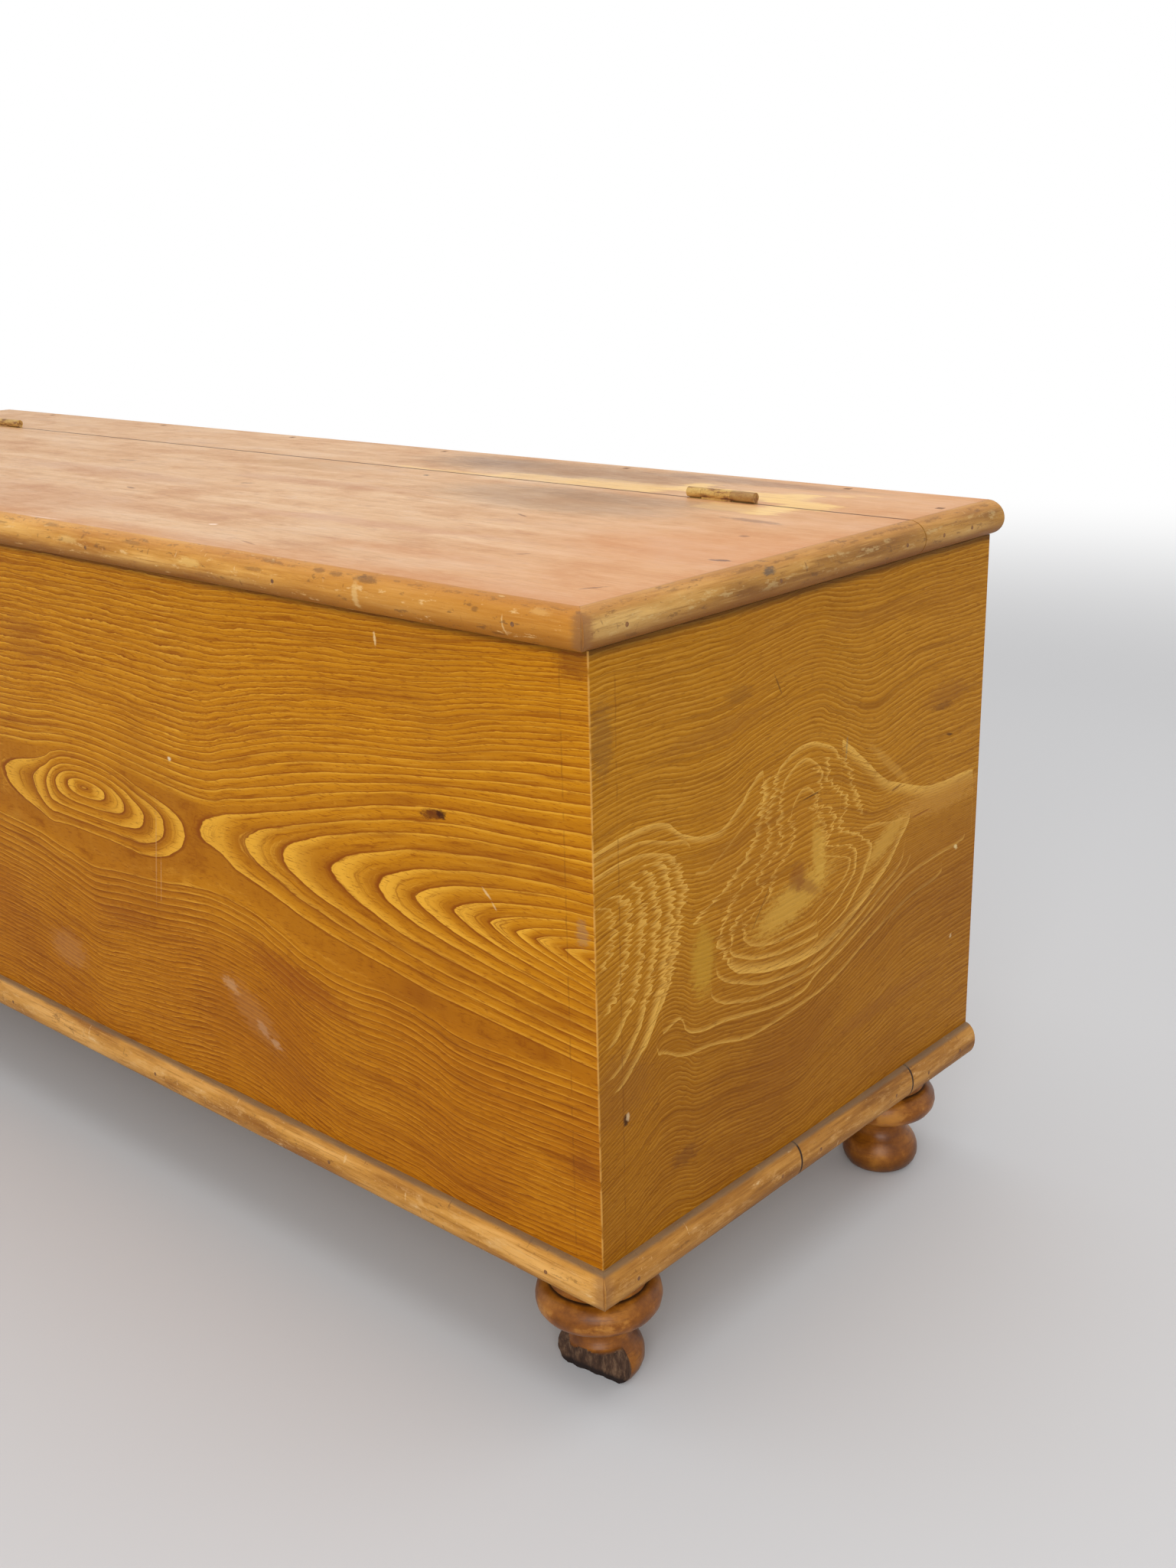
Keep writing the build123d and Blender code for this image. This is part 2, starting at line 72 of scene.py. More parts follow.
class Wire:
    # a value inside a finish, so that a sum in a material reads as a sum
    def __init__(self, finish, socket):
        self.finish, self.socket = finish, socket

    def __add__(self, other): return self.finish.sum("ADD", self, other)
    __radd__ = __add__
    def __sub__(self, other): return self.finish.sum("SUBTRACT", self, other)
    def __rsub__(self, other): return self.finish.sum("SUBTRACT", other, self)
    def __mul__(self, other): return self.finish.sum("MULTIPLY", self, other)
    __rmul__ = __mul__
    def __truediv__(self, other): return self.finish.sum("DIVIDE", self, other)
    def __pow__(self, other): return self.finish.sum("POWER", self, other)
    def __neg__(self): return self.finish.sum("MULTIPLY", self, -1.0)
    def __abs__(self): return self.finish.sum("ABSOLUTE", self)
    def above(self, other): return self.finish.sum("MAXIMUM", self, other)
    def below(self, other): return self.finish.sum("MINIMUM", self, other)
    def over(self, edge): return self.finish.sum("GREATER_THAN", self, edge)


class Finish:
    def __init__(self, name, roughness, shine=0.5):
        self.material = bpy.data.materials.new(name)
        self.material.use_nodes = True
        self.tree = self.material.node_tree
        self.shader = self.tree.nodes["Principled BSDF"]
        self.shader.inputs["Roughness"].default_value = roughness
        self.shader.inputs["Specular IOR Level"].default_value = shine
        place = self.node("TexCoord").outputs["Object"]
        split = self.node("SeparateXYZ")
        self.tree.links.new(place, split.inputs[0])
        # millimetres, as the drawing has them
        self.x, self.y, self.z = (Wire(self, split.outputs[i]) * 1000.0 for i in range(3))

    def node(self, kind):
        return self.tree.nodes.new("ShaderNode" + kind)

    def fit(self, socket, value):
        if isinstance(value, Wire):
            self.tree.links.new(value.socket, socket)
        elif value is not None:
            socket.default_value = value

    def sum(self, kind, first, second=None):
        node = self.node("Math")
        node.operation = kind
        self.fit(node.inputs[0], first)
        self.fit(node.inputs[1], second)
        return Wire(self, node.outputs[0])

    def point(self, x, y, z=0.0):
        node = self.node("CombineXYZ")
        for socket, value in zip(node.inputs, (x, y, z)):
            self.fit(socket, value)
        return Wire(self, node.outputs[0])

    # 0 at low, 1 at high, with soft ends
    def rise(self, value, low, high):
        node = self.node("MapRange")
        node.interpolation_type = "SMOOTHSTEP"
        self.fit(node.inputs["Value"], value)
        self.fit(node.inputs["From Min"], low)
        self.fit(node.inputs["From Max"], high)
        return Wire(self, node.outputs[0])

    def fall(self, value, low, high):
        return 1.0 - self.rise(value, low, high)

    def blotch(self, where, detail=3.0, rough=0.5, warp=0.0, scale=1.0):
        place = self.point(*where)
        node = self.node("TexNoise")
        self.fit(node.inputs["Vector"], place)
        settings = {"Scale": scale, "Detail": detail, "Roughness": rough, "Distortion": warp}
        for name, value in settings.items():
            node.inputs[name].default_value = value
        return Wire(self, node.outputs[0])

    # a smooth line through read-off points
    def line(self, value, points):
        x0, x1 = points[0][0], points[-1][0]
        y0, y1 = min(y for _, y in points), max(y for _, y in points)
        share = (value - x0) / (x1 - x0)
        node = self.node("FloatCurve")
        curve = node.mapping.curves[0]
        spots = [((x - x0) / (x1 - x0), (y - y0) / (y1 - y0)) for x, y in points]
        curve.points[0].location = spots[0]
        curve.points[1].location = spots[-1]
        for spot in spots[1:-1]:
            curve.points.new(*spot)
        node.mapping.update()
        self.fit(node.inputs["Value"], share)
        return Wire(self, node.outputs[0]) * (y1 - y0) + y0

    def tones(self, value, stops):
        node = self.node("ValToRGB")
        ramp = node.color_ramp
        while len(ramp.elements) < len(stops):
            ramp.elements.new(0.5)
        for element, (spot, colour) in zip(ramp.elements, stops):
            element.position = spot
            element.color = paint(*colour)
        self.fit(node.inputs[0], value)
        return Wire(self, node.outputs[0])

    def lay(self, amount, under, over):
        node = self.node("Mix")
        node.data_type = "RGBA"
        self.fit(node.inputs[0], amount)
        for socket, value in ((node.inputs[6], under), (node.inputs[7], over)):
            self.fit(socket, paint(*value) if isinstance(value, tuple) else value)
        return Wire(self, node.outputs[2])

    # coats one after another: what each follows, where it starts and is full, strength, colour
    def coats(self, colour, rows):
        for value, low, high, strength, tone in rows:
            colour = self.lay(self.rise(value, low, high) * strength, colour, tone)
        return colour

    # soft-edged oval, 1 inside
    def oval(self, across, up, middle, half, soft, ragged):
        away = ((across - middle[0]) / half[0]) ** 2.0 + ((up - middle[1]) / half[1]) ** 2.0
        return self.fall(away + ragged, 1.0 - soft, 1.0 + soft)

    # soft-edged rectangle, 1 inside
    def panel(self, across, up, middle, half, soft):
        inX = self.fall(abs(across - middle[0]), half[0] - soft, half[0] + soft)
        inY = self.fall(abs(up - middle[1]), half[1] - soft, half[1] + soft)
        return inX * inY

    def done(self, colour, roughness, height, depth):
        self.fit(self.shader.inputs["Base Color"], colour)
        self.fit(self.shader.inputs["Roughness"], roughness)
        bump = self.node("Bump")
        bump.inputs["Distance"].default_value = depth
        bump.inputs["Strength"].default_value = 1.0
        self.fit(bump.inputs["Height"], height)
        self.tree.links.new(bump.outputs[0], self.shader.inputs["Normal"])
        return self.material


# The painted grain of the front is a field that rises by one from line to line. Heights are
# in mm above the base moulding, and t runs left from the near corner.
frontGrain = {
    "fold": [(-1383, 290), (-1200, 100), (-1080, -20), (-900, -225), (-800, -325), (-745, -364),
        (-700, -391), (-668, -411), (-640, -427), (-617, -443), (-604, -462), (-590, -487),
        (-546, -546)],
    "middle": [(0, 214), (40, 216), (194, 218), (295, 215.5), (392, 211), (440, 206), (490, 211),
        (546, 215), (600, 215)],
    "upperEdge": [(0, 300), (70, 294), (150, 286), (200, 276), (258, 262), (310, 248), (350, 239),
        (392, 232), (430, 235), (480, 240), (546, 244), (600, 241)],
    "upperGroup": [(0, 340), (70, 332), (140, 318), (260, 304), (310, 293), (350, 281), (400, 271),
        (450, 273), (500, 276), (600, 276)],
    "lowerEdge": [(0, 138), (93, 143), (149, 147), (188, 152.5), (217, 156.6), (269, 164),
        (310, 174), (350, 183), (392, 196), (430, 190), (480, 181), (546, 176), (600, 177)],
    "lowerGroup": [(0, 131.5), (73, 128.7), (114, 128), (149, 134), (188, 139), (227, 138),
        (269, 143), (308, 155), (353, 166.4), (381, 168.4), (409, 166.4), (457, 159.4), (500, 155.4),
        (570, 149.5), (600, 152)],
    "tips": [(4, 0), (25, 1), (49, 2), (66, 3), (89, 4), (120, 5), (156, 6), (194, 7), (241.5, 8),
        (295, 9), (337.5, 10), (392.5, 11), (420, 11.4)],
}

endGrain = {
    "upperEdge": [(0, 291), (30, 294.5), (75, 291), (103, 287), (127, 287), (158, 296), (189, 302.5),
        (220, 306), (248, 298.5), (270, 286), (294, 266), (319, 246), (340, 237.5), (384, 224),
        (457, 221)],
    "lowerEdge": [(0, 108), (30, 121), (55, 138), (68, 143), (82, 139), (100, 129), (128, 126),
        (149, 121.6), (189, 114.7), (215, 113.8), (237, 120), (270, 130.5), (315, 145.6), (354, 159),
        (390, 163), (457, 166)],
}


frontShape = {
    "sway": 7.0,  # mm that the figure wanders up and down
    "lastTip": 420.0,  # the outermost arrow's tip, from the corner
    "ovalAt": 546.0,
    "ovalHalf": 134.0,  # half its length
    "ovalUp": 28.0,
    "ovalDown": 38.0,
    "ovalPower": 2.2,
    "ovalRoot": 0.4545,  # 1 / ovalPower
    "outerRing": 11.0,  # the oval's outer line has the number of the last arrow
    "ringStep": 0.195,  # ring to ring, in half lengths
    "linesAbove": 5.4,
    "linesBelow": 6.2,
    "belowDepth": 38.0,
    "combAbove": 4.2,  # mm from one comb mark to the next
    "combBelow": 4.0,
    "combTop": 300.0,  # height at which the comb above has straightened
}


# Gives the field, how much of it is fine comb, and how thin the pale bands are
def frontFigure(f, x, z):
    shape = frontShape
    lastTip, ovalAt, ovalHalf = shape["lastTip"], shape["ovalAt"], shape["ovalHalf"]
    # folded at the oval's middle, so that the hidden left half has a figure too
    t = abs(x.above(f.line(x, frontGrain["fold"])))
    sway = f.blotch((x * 0.006, z * 0.012), 2.0)
    z = z + (sway - 0.5) * shape["sway"]
    middle = f.line(t, frontGrain["middle"])
    upper = f.line(t, frontGrain["upperEdge"])
    upperTop = f.line(t, frontGrain["upperGroup"])
    lower = f.line(t, frontGrain["lowerEdge"])
    lowerTop = f.line(t, frontGrain["lowerGroup"])
    rise = ((z - middle) / (upper - middle)).above(0.0)
    rise = rise + ((middle - z) / (middle - lower)).above(0.0)
    reach = (lastTip - t).above(0.0)
    tip = t + reach * rise ** (t * 0.0024 + 1.15).below(1.9)
    arrows = f.line(tip, frontGrain["tips"]) + (tip - lastTip).above(0.0) * 0.02
    fromEye = z - middle
    high = fromEye.above(0.0) / shape["ovalUp"] + (-fromEye).above(0.0) / shape["ovalDown"]
    power = shape["ovalPower"]
    oval = ((abs(ovalAt - t) / ovalHalf) ** power + high ** power) ** shape["ovalRoot"]
    eye = shape["outerRing"] + (oval - 1.0) / shape["ringStep"]
    inside = arrows.below(eye).below(shape["outerRing"] + 0.2)
    above = ((z - upper) / (upperTop - upper)).above(0.0).below(1.0) * shape["linesAbove"]
    relax = f.rise(z - upperTop, 0.0, 110.0) * 0.8
    straight = z - upperTop - relax * (shape["combTop"] - upperTop)
    combAbove = straight.above(0.0) / shape["combAbove"]
    below = ((lower - z) / (lower - lowerTop)).above(0.0).below(1.0) ** 3.0 * 0.3
    depth = shape["belowDepth"]
    groupBelow = ((lowerTop - z) / depth).above(0.0).below(1.0) * shape["linesBelow"]
    combBelow = (lowerTop - depth - z).above(0.0) / shape["combBelow"]
    index = inside + above + combAbove + below + groupBelow + combBelow
    comb = ((combAbove + combBelow) * 0.4).below(1.0)
    # far along the arms, and away from the oval's right end, the pale bands thin to lines
    past = tip - t
    armLength = 130.0 - 65.0 * f.rise(z - middle, -4.0, 8.0)
    armLength = armLength * (0.3 + 0.7 * f.rise(tip, 60.0, 170.0))
    far = (past / armLength).below(1.0) * f.rise(lastTip - t, 0.0, 30.0)
    rightward = (ovalAt - t) / ovalHalf / oval.above(0.05)
    leftward = f.fall(rightward, 0.35, 0.95)
    far = far.above(leftward * f.rise(t, lastTip - 2.0, lastTip + 6.0) * 0.8)
    far = far.above((above + groupBelow).below(0.45))
    return index, comb, far


endCombStep = 3.3  # mm from one comb mark to the next
endCalm = {"upper": 298.0, "lower": 135.0}  # heights at which the comb runs straight


# On the ends only a fine comb runs everywhere; it bends round the brushed figure
def endComb(f, y, z):
    sway = f.blotch((y * 0.012, z * 0.014, 3.0), 2.0) - 0.5
    y, z = y + sway * 14.0, z + sway * 7.0
    upper = f.line(y, endGrain["upperEdge"])
    lower = f.line(y, endGrain["lowerEdge"])
    over = (upper - endCalm["upper"]) * (0.8 - f.rise(z - upper, 0.0, 130.0) * 0.65)
    over = over * (1.0 - f.rise(y, 240.0, 380.0) * 0.6)
    under = (lower - endCalm["lower"]) * (1.0 - f.rise(lower - z, 0.0, 150.0) * 0.6)
    bend = under + (over - under) * f.rise(z, lower, upper)
    return (z - bend) / endCombStep


# The brushed lines of the ends, in mm from the front corner and the base moulding: whether the
# line lies, the side it fades to, width, strength, and points along it, which are (along, up)
# for a line that lies and (up, along) for one that stands
endLines = [
    (False, -1, 9, 0.75, [(138, 42), (154, 56), (173, 69.5), (193, 77), (215, 83), (233, 86.5),
        (248, 82), (262, 72)]),
    (False, -1, 9, 0.8, [(120, 18), (135, 39), (150, 51), (180, 65.5), (200, 70.6), (220, 73.4),
        (235, 74), (250, 70), (262, 58)]),
    (False, -1, 8, 0.75, [(130, 12), (150, 37), (170, 48), (190, 55), (215, 59.5), (235, 60.5),
        (250, 56), (260, 44)]),
    (False, -1, 8, 0.7, [(152, 12), (165, 26.6), (180, 36), (200, 42.8), (220, 46.3), (235, 47),
        (248, 42), (256, 32)]),
    (False, -1, 7, 0.7, [(176, 8), (190, 21.8), (205, 28.6), (220, 32), (235, 33), (245, 29),
        (252, 18)]),
    (False, -1, 6, 0.6, [(205, 6), (215, 14), (228, 18), (240, 16), (248, 6)]),
    (True, -1, 5, 0.6, [(0, 268), (30, 271), (60, 266), (78, 256)]),
    (True, -1, 4, 0.5, [(0, 277), (35, 279), (70, 271), (92, 262)]),
    (True, -1, 6, 0.7, [(0, 283), (40, 287), (66, 284), (88, 270), (120, 263), (143, 274),
        (170, 292)]),
    (True, -1, 3, 0.45, [(97, 242), (109, 240), (121, 245), (143, 257), (167, 272), (178, 286)]),
    (False, 1, 9, 0.8, [(206, 96), (218, 118), (230, 141), (244, 156), (262, 165), (285, 172)]),
    (False, 1, 6, 0.75, [(160, 138), (168, 130), (189, 121), (200, 127), (216, 142), (233, 169),
        (245.6, 176), (258, 173), (270, 179), (284, 184)]),
    (False, 1, 5, 0.75, [(178, 132), (190, 134), (197, 144), (210, 169), (216.5, 164), (230, 185),
        (242, 188.5), (259, 187), (274, 191)]),
    (False, 1, 5, 0.7, [(180, 147), (189, 148), (198, 173), (215, 183), (229, 200), (239, 203),
        (252, 201)]),
    (True, -1, 5, 0.7, [(183, 282), (198, 294), (217, 298), (236, 294), (257, 281)]),
    (True, -1, 4, 0.65, [(190, 273), (203, 284), (217, 288), (230, 282), (240, 268)]),
    (True, -1, 4, 0.6, [(201, 251), (208, 263), (217, 267), (227, 263), (234, 252)]),
    (False, -1, 6, 0.75, [(228, 290), (234, 288), (249, 280), (266, 273.5), (281, 256)]),
    (False, -1, 6, 0.8, [(152, 232), (157, 265), (169, 283.6), (184, 297), (199, 304.5),
        (206, 298.6), (216, 283.6), (227, 263.5), (242, 272), (254, 260), (266, 248), (283, 244)]),
    (False, -1, 5, 0.8, [(161, 232), (166, 253.5), (176, 270), (192, 285), (202, 284), (209, 273.5),
        (220, 247), (234, 255), (241, 252), (254, 233), (267, 238.5), (279, 228)]),
    (False, -1, 5, 0.6, [(168, 226), (176, 246), (186, 270), (196, 277), (204, 262), (214, 240),
        (226, 243), (240, 238), (252, 226)]),
    (True, 1, 5, 0.6, [(132, 176), (150, 164), (180, 155), (205, 152), (238, 151)]),
    (True, 1, 5, 0.55, [(146, 182), (156, 172), (175, 165), (200, 162), (236, 161)]),
    (True, 1, 11, 0.75, [(134, 164), (160, 150), (190, 142.5), (223, 139), (257, 142), (290, 156),
        (314, 169), (332, 181), (342, 192), (356, 207)]),
    (True, 1, 5, 0.55, [(118, 166), (150, 145), (190, 134), (230, 131), (270, 141), (310, 158),
        (350, 180)]),
    (True, 1, 4, 0.5, [(112, 152), (150, 132), (190, 126.5), (230, 125), (270, 134), (315, 153),
        (360, 176)]),
    (True, 1, 4, 0.6, [(62, 142), (79, 146), (88, 134), (100, 129), (128, 126), (149, 122),
        (189, 115), (215, 114), (237, 122), (270, 130.5), (315, 146), (354, 159), (390, 163),
        (440, 166)]),
    (True, 1, 4, 0.55, [(56, 130), (63.5, 128), (82, 118.5), (112.5, 114), (166, 103), (219, 105),
        (248, 108), (307, 127), (357, 141), (407, 149)]),
    (True, -1, 4, 0.5, [(290, 216), (297, 217), (332, 211), (356, 207)]),
    (True, -1, 12, 0.75, [(262, 290), (270, 285), (294, 267), (319, 247), (340, 238.5), (384, 225),
        (450, 221)]),
]


brushSpan = 460.0  # mm that the brushed lines' curves cover, both ways


def brushedLines(f, y, z, lines):
    # teeth where the lines stand
    bite = f.blotch((y * 0.02, z * 0.09), 3.0)
    teeth = f.sum("PINGPONG", z + (bite - 0.5) * 24.0, 2.6) - 1.3
    low = 164.0 + 36.0 * f.rise(y, 150.0, 175.0)
    toothed = f.rise(z, low, low + 10.0) * f.rise(z, 296.0, 270.0)
    shaken = (y + teeth * toothed * (0.8 + bite * 3.4)) / brushSpan
    across, up = y / brushSpan, z / brushSpan
    total = None
    for lying, side, width, strength, points in lines:
        place, other = (across, up) if lying else (up, shaken)
        node = f.node("FloatCurve")
        curve = node.mapping.curves[0]
        # at its ends the line is led off to where it can't show
        off, lead = side * 1.5 * brushSpan, 5.0
        (first, firstAt), (last, lastAt) = points[0], points[-1]
        led = [(first - lead, firstAt + off), *points, (last + lead, lastAt + off)]
        spots = [(px / brushSpan, py / brushSpan) for px, py in led if px >= 0.0]
        if spots[0][0] > 0.0:
            spots.insert(0, (0.0, spots[0][1]))
        spots.append((1.0, spots[-1][1]))
        curve.points[0].location, curve.points[1].location = spots[0], spots[-1]
        for spot in spots[1:-1]:
            curve.points.new(*spot)
        for point in curve.points:
            point.handle_type = "AUTO_CLAMPED"
        node.mapping.clip_min_y, node.mapping.clip_max_y = -1.0, 2.0
        node.mapping.use_clip = False
        node.mapping.update()
        f.fit(node.inputs["Value"], place)
        line = Wire(f, node.outputs[0])
        away = other - line if side > 0 else line - other
        fade = f.rise(away, width / brushSpan, 0.0)
        fade.socket.node.inputs["To Max"].default_value = strength
        stroke = fade * away.over(0.0)
        total = stroke if total is None else total.above(stroke)
    return total


# Marks: across, up, half width, half height in mm, turn in degrees, colour, strength
frontMarks = [
    (-136, 279, 11, 3.5, 8, (92, 38, 8), 0.85), (-128, 281, 4, 3, 0, (50, 18, 6), 0.8),
    (-453, 180, 0.8, 40, -9.5, (200, 150, 96), 0.4),
    (-450, 160, 0.5, 22, -9.5, (214, 170, 120), 0.4),
    (-347, 76, 34, 14, -35, (180, 130, 86), 0.22), (-336, 66, 9, 4, -35, (206, 170, 134), 0.25),
    (-322, 58, 6, 3, -20, (206, 170, 134), 0.35),
    (-372, 92, 10, 5, -20, (202, 160, 116), 0.4),
    (-422, 262, 2.2, 1.6, 0, (226, 206, 170), 0.9), (-181, 387, 1.2, 4.6, 4, (232, 196, 136), 0.8),
    (-600, 60, 26, 16, 0, (180, 128, 84), 0.3), (-505, 115, 40, 9, 4, (126, 60, 12), 0.35),
    (-290, 118, 60, 12, -12, (128, 56, 10), 0.4), (-12, 396, 14, 9, 0, (120, 62, 14), 0.55),
    (-14, 70, 12, 10, 0, (124, 62, 14), 0.4), (-10, 230, 5, 9, 0, (150, 120, 90), 0.4),
    (-330, 300, 60, 3, 5, (150, 84, 18), 0.35), (-90, 236, 4.5, 1.0, -40, (232, 206, 158), 0.5),
    (-84, 229, 3.2, 0.8, -50, (232, 206, 158), 0.35), (-610, 330, 30, 20, 0, (150, 92, 30), 0.25),
]
endMarks = [
    (206, 188, 46, 15, 14, (206, 160, 66), 0.6), (236, 214, 9, 24, 8, (206, 160, 66), 0.55),
    (104, 178, 12, 24, 0, (186, 142, 44), 0.6), (322, 198, 30, 9, 27, (204, 156, 66), 0.6),
    (326, 256, 36, 4, -38, (214, 164, 76), 0.25), (400, 212, 60, 12, -3, (196, 142, 62), 0.45),
    (210, 204, 10, 11, 30, (132, 76, 22), 0.6), (222, 194, 16, 5, -30, (132, 74, 22), 0.5),
    (404, 292, 30, 10, 0, (136, 82, 26), 0.4), (398, 284, 14, 3, 0, (104, 58, 18), 0.5),
    (410, 259, 5, 1, -10, (70, 36, 12), 0.8), (85, 45, 15, 7, 0, (104, 58, 22), 0.5),
    (143, 348, 14, 6, 0, (128, 82, 26), 0.4), (185, 346, 0.7, 9, 30, (90, 56, 20), 0.6),
    (225, 259, 13, 0.6, 3, (84, 46, 10), 0.8), (25, 97, 2.2, 4.5, 0, (40, 20, 8), 0.9),
    (27, 99, 1.6, 3, 0, (226, 196, 150), 0.7), (427, 163, 3.0, 2.0, -30, (226, 200, 140), 0.8),
    (425, 88, 2.0, 1.8, 0, (216, 186, 140), 0.6), (168, 195, 0.7, 17, -38, (116, 76, 26), 0.6),
    (336, 236, 8, 0.8, 8, (112, 60, 14), 0.7), (268, 283, 1.2, 9, -5, (116, 110, 84), 0.4),
    (10, 350, 10, 24, 0, (112, 76, 36), 0.4), (20, 120, 30, 26, 0, (120, 72, 30), 0.3),
    (372, 206, 14, 0.7, 1, (128, 66, 14), 0.7), (120, 330, 60, 7, 2, (146, 92, 26), 0.35),
    (300, 372, 70, 6, 1, (148, 94, 28), 0.3), (330, 66, 80, 8, 2, (132, 78, 26), 0.3),
]


# where is 1 on the face that the marks are for
def addMarks(f, colour, across, up, marks, where, rag=1.0):
    ragged = (f.blotch((across * 0.12, up * 0.3), 6.0, 0.8) - 0.5) * 3.0 * rag
    outside = ragged + (1.0 - where) * 9.0
    place = f.point(across, up)
    for x, z, wide, high, turn, tone, strength in marks:
        local = f.node("Mapping")
        local.vector_type = "TEXTURE"
        f.fit(local.inputs["Vector"], place)
        local.inputs["Location"].default_value = (x, z, 0)
        local.inputs["Rotation"].default_value = (0, 0, math.radians(turn))
        local.inputs["Scale"].default_value = (wide, high, 1)
        away = f.node("VectorMath")
        away.operation = "LENGTH"
        f.tree.links.new(local.outputs[0], away.inputs[0])
        amount = f.rise(Wire(f, away.outputs["Value"]) + outside, 1.3, 0.55)
        amount.socket.node.inputs["To Max"].default_value = strength
        colour = f.lay(amount, colour, tone)
    return colour


# Each board has its own finish with what reaches it, as one finish can't hold every line
def linesWithin(lines, low, high):
    within = []
    for line in lines:
        spread = [point[0 if line[0] else 1] for point in line[4]]
        if max(spread) >= low and min(spread) <= high:
            within.append(line)
    return within


def marksWithin(marks, low, high):
    return [mark for mark in marks if mark[0] + mark[2] >= low and mark[0] - mark[2] <= high]


# The two painted faces, each where the board's outside is
def painted(f, frontReach, endReach):
    x, y, z = f.x, f.y, f.z
    end, front, foot = chest["end"], chest["front"], chest["mouldingTop"]
    frontIndex, frontComb, frontFar = frontFigure(f, x - end, z - foot)
    onEnd = abs(x).over(chest["endFace"])
    onFront = 1.0 - onEnd
    up = z - foot
    index = frontIndex * onFront + endComb(f, y - front, up) * onEnd
    comb = frontComb * onFront + onEnd
    far = frontFar * onFront
    along = x * onFront + y * onEnd
    wander = f.blotch((along * 0.02, z * 0.09, onEnd * 9.0), 4.0, 0.6)
    index = index + (wander - 0.5) * (0.25 + comb * 1.2)
    part = f.sum("FRACT", index)
    streak = f.blotch((along * 0.016, index * 3.3, onEnd * 5.0), 6.0, 0.75)
    flecks = f.blotch((along * 0.1, z * 0.85, onEnd * 5.0), 4.0, 0.65)
    tuft = f.blotch((along * 0.03, z * 0.035), 4.0, 0.6)
    cloud = f.blotch((along * 0.006, z * 0.009, onEnd * 3.0), 3.0)
    slow = f.blotch((along * 0.005, index * 0.55, onEnd * 5.0), 3.0, 0.6)
    # three tones of the paint, each redder and darker low down
    base = f.lay(onEnd, (195, 127, 12), (174, 114, 14))
    deep = f.lay(onEnd, (134, 64, 0), (126, 72, 2))
    pale = f.lay(onEnd, (229, 168, 52), (206, 152, 56))
    low = f.fall(up, 90.0, 240.0) * (0.3 + f.rise(cloud, 0.35, 0.65) * 0.3)
    base = f.lay(low, base, f.lay(onEnd, (152, 76, 0), (118, 62, 0)))
    deep = f.lay(low, deep, (96, 42, 0))
    pale = f.lay(low, pale, f.lay(onEnd, (190, 112, 16), (160, 100, 24)))
    # across one line to the next: a dark edge, brown, then a pale band that stops short
    band = part ** (1.1 + far * 3.6 + comb * 0.9)
    calm = (1.0 - comb * f.rise(tuft, 0.36, 0.66) * 0.35) * (1.0 - onEnd * 0.5)
    strong = calm * (1.0 - far * 0.3)
    colour = f.lay(f.fall(part, 0.05, 0.6) * strong * (0.5 + comb * 0.2), base, deep)
    colour = f.lay(f.rise(band, 0.12, 0.9) * calm * (1.0 - far * 0.3), colour, pale)
    edge = f.fall(part, 0.02, 0.14) + f.rise(part, 0.975, 1.0)
    colour = f.lay(edge * strong * 0.85, colour, deep)
    lines = linesWithin(endLines, *endReach)
    brushed = brushedLines(f, y - front + (wander - 0.5) * 6.0, up, lines) * onEnd
    colour = f.lay(brushed, colour, (226, 176, 82))
    colour = f.coats(colour, [
        (streak, 0.5, 0.66, 0.7, deep),
        (streak, 0.46, 0.3, 0.5, pale),
        (slow, 0.52, 0.7, 0.45, deep),
        (flecks, 0.54, 0.66, 0.6, deep),
        (cloud, 0.5, 0.72, 0.22, (150, 92, 22)),
        # painted shade under the lid's nosing
        (z, 508.0, 514.5, 0.7, (60, 32, 8)),
    ])
    colour = addMarks(f, colour, x - end, up, marksWithin(frontMarks, *frontReach), onFront)
    acrossEnd, onRight = y - front, x.over(chest["endFace"])
    colour = addMarks(f, colour, acrossEnd, up, marksWithin(endMarks, *endReach), onRight)
    return colour, part, streak


# The unpainted wood, also of the boards' hidden sides
def barePine(f, along, across):
    rings = f.blotch((along * 0.004, across * 0.06), 4.0, 0.6, 0.6)
    fine = f.blotch((along * 0.03, across * 0.9), 4.0, 0.7)
    colour = f.tones(rings, [(0.3, (150, 116, 78)), (0.5, (178, 140, 98)), (0.7, (196, 160, 116))])
    return f.lay(f.rise(fine, 0.5, 0.8) * 0.5, colour, (128, 94, 60)), fine


def caseFinish(board, frontReach, endReach):
    f = Finish(f"grained_paint_{board}", 0.4, 0.08)
    end, front = chest["end"], chest["front"]
    colour, part, streak = painted(f, frontReach, endReach)
    bare, fine = barePine(f, f.x + f.y, f.z)
    outside = (abs(f.x).over(chest["endFace"]) + (-f.y).over(chest["frontFace"])).below(1.0)
    speck = f.blotch((f.x, f.y, f.z), 3.0, scale=0.09)
    # worn arris at the near corner, and the joint a board's thickness from it
    corner, thickness = (end - abs(f.x)) + (f.y - front), 22.5
    worn = f.fall(corner, 0.3, 1.3) * f.rise(speck, 0.3, 0.5)
    colour = f.lay(worn * 0.65, colour, (216, 160, 80))
    fromJoint = abs(corner - thickness - (speck - 0.5) * 3.0)
    joint = f.fall(fromJoint, 0.2, 1.0) * f.rise(speck, 0.35, 0.6)
    colour = f.lay(joint * 0.35, colour, (104, 56, 12))
    colour = f.lay(outside, bare, colour)
    rough = 0.4 + f.rise(streak, 0.3, 0.7) * 0.15 + (1.0 - outside) * 0.35
    return f.done(colour, rough, part * 0.2 + streak * 0.7 + fine * (1.0 - outside), 0.0003)


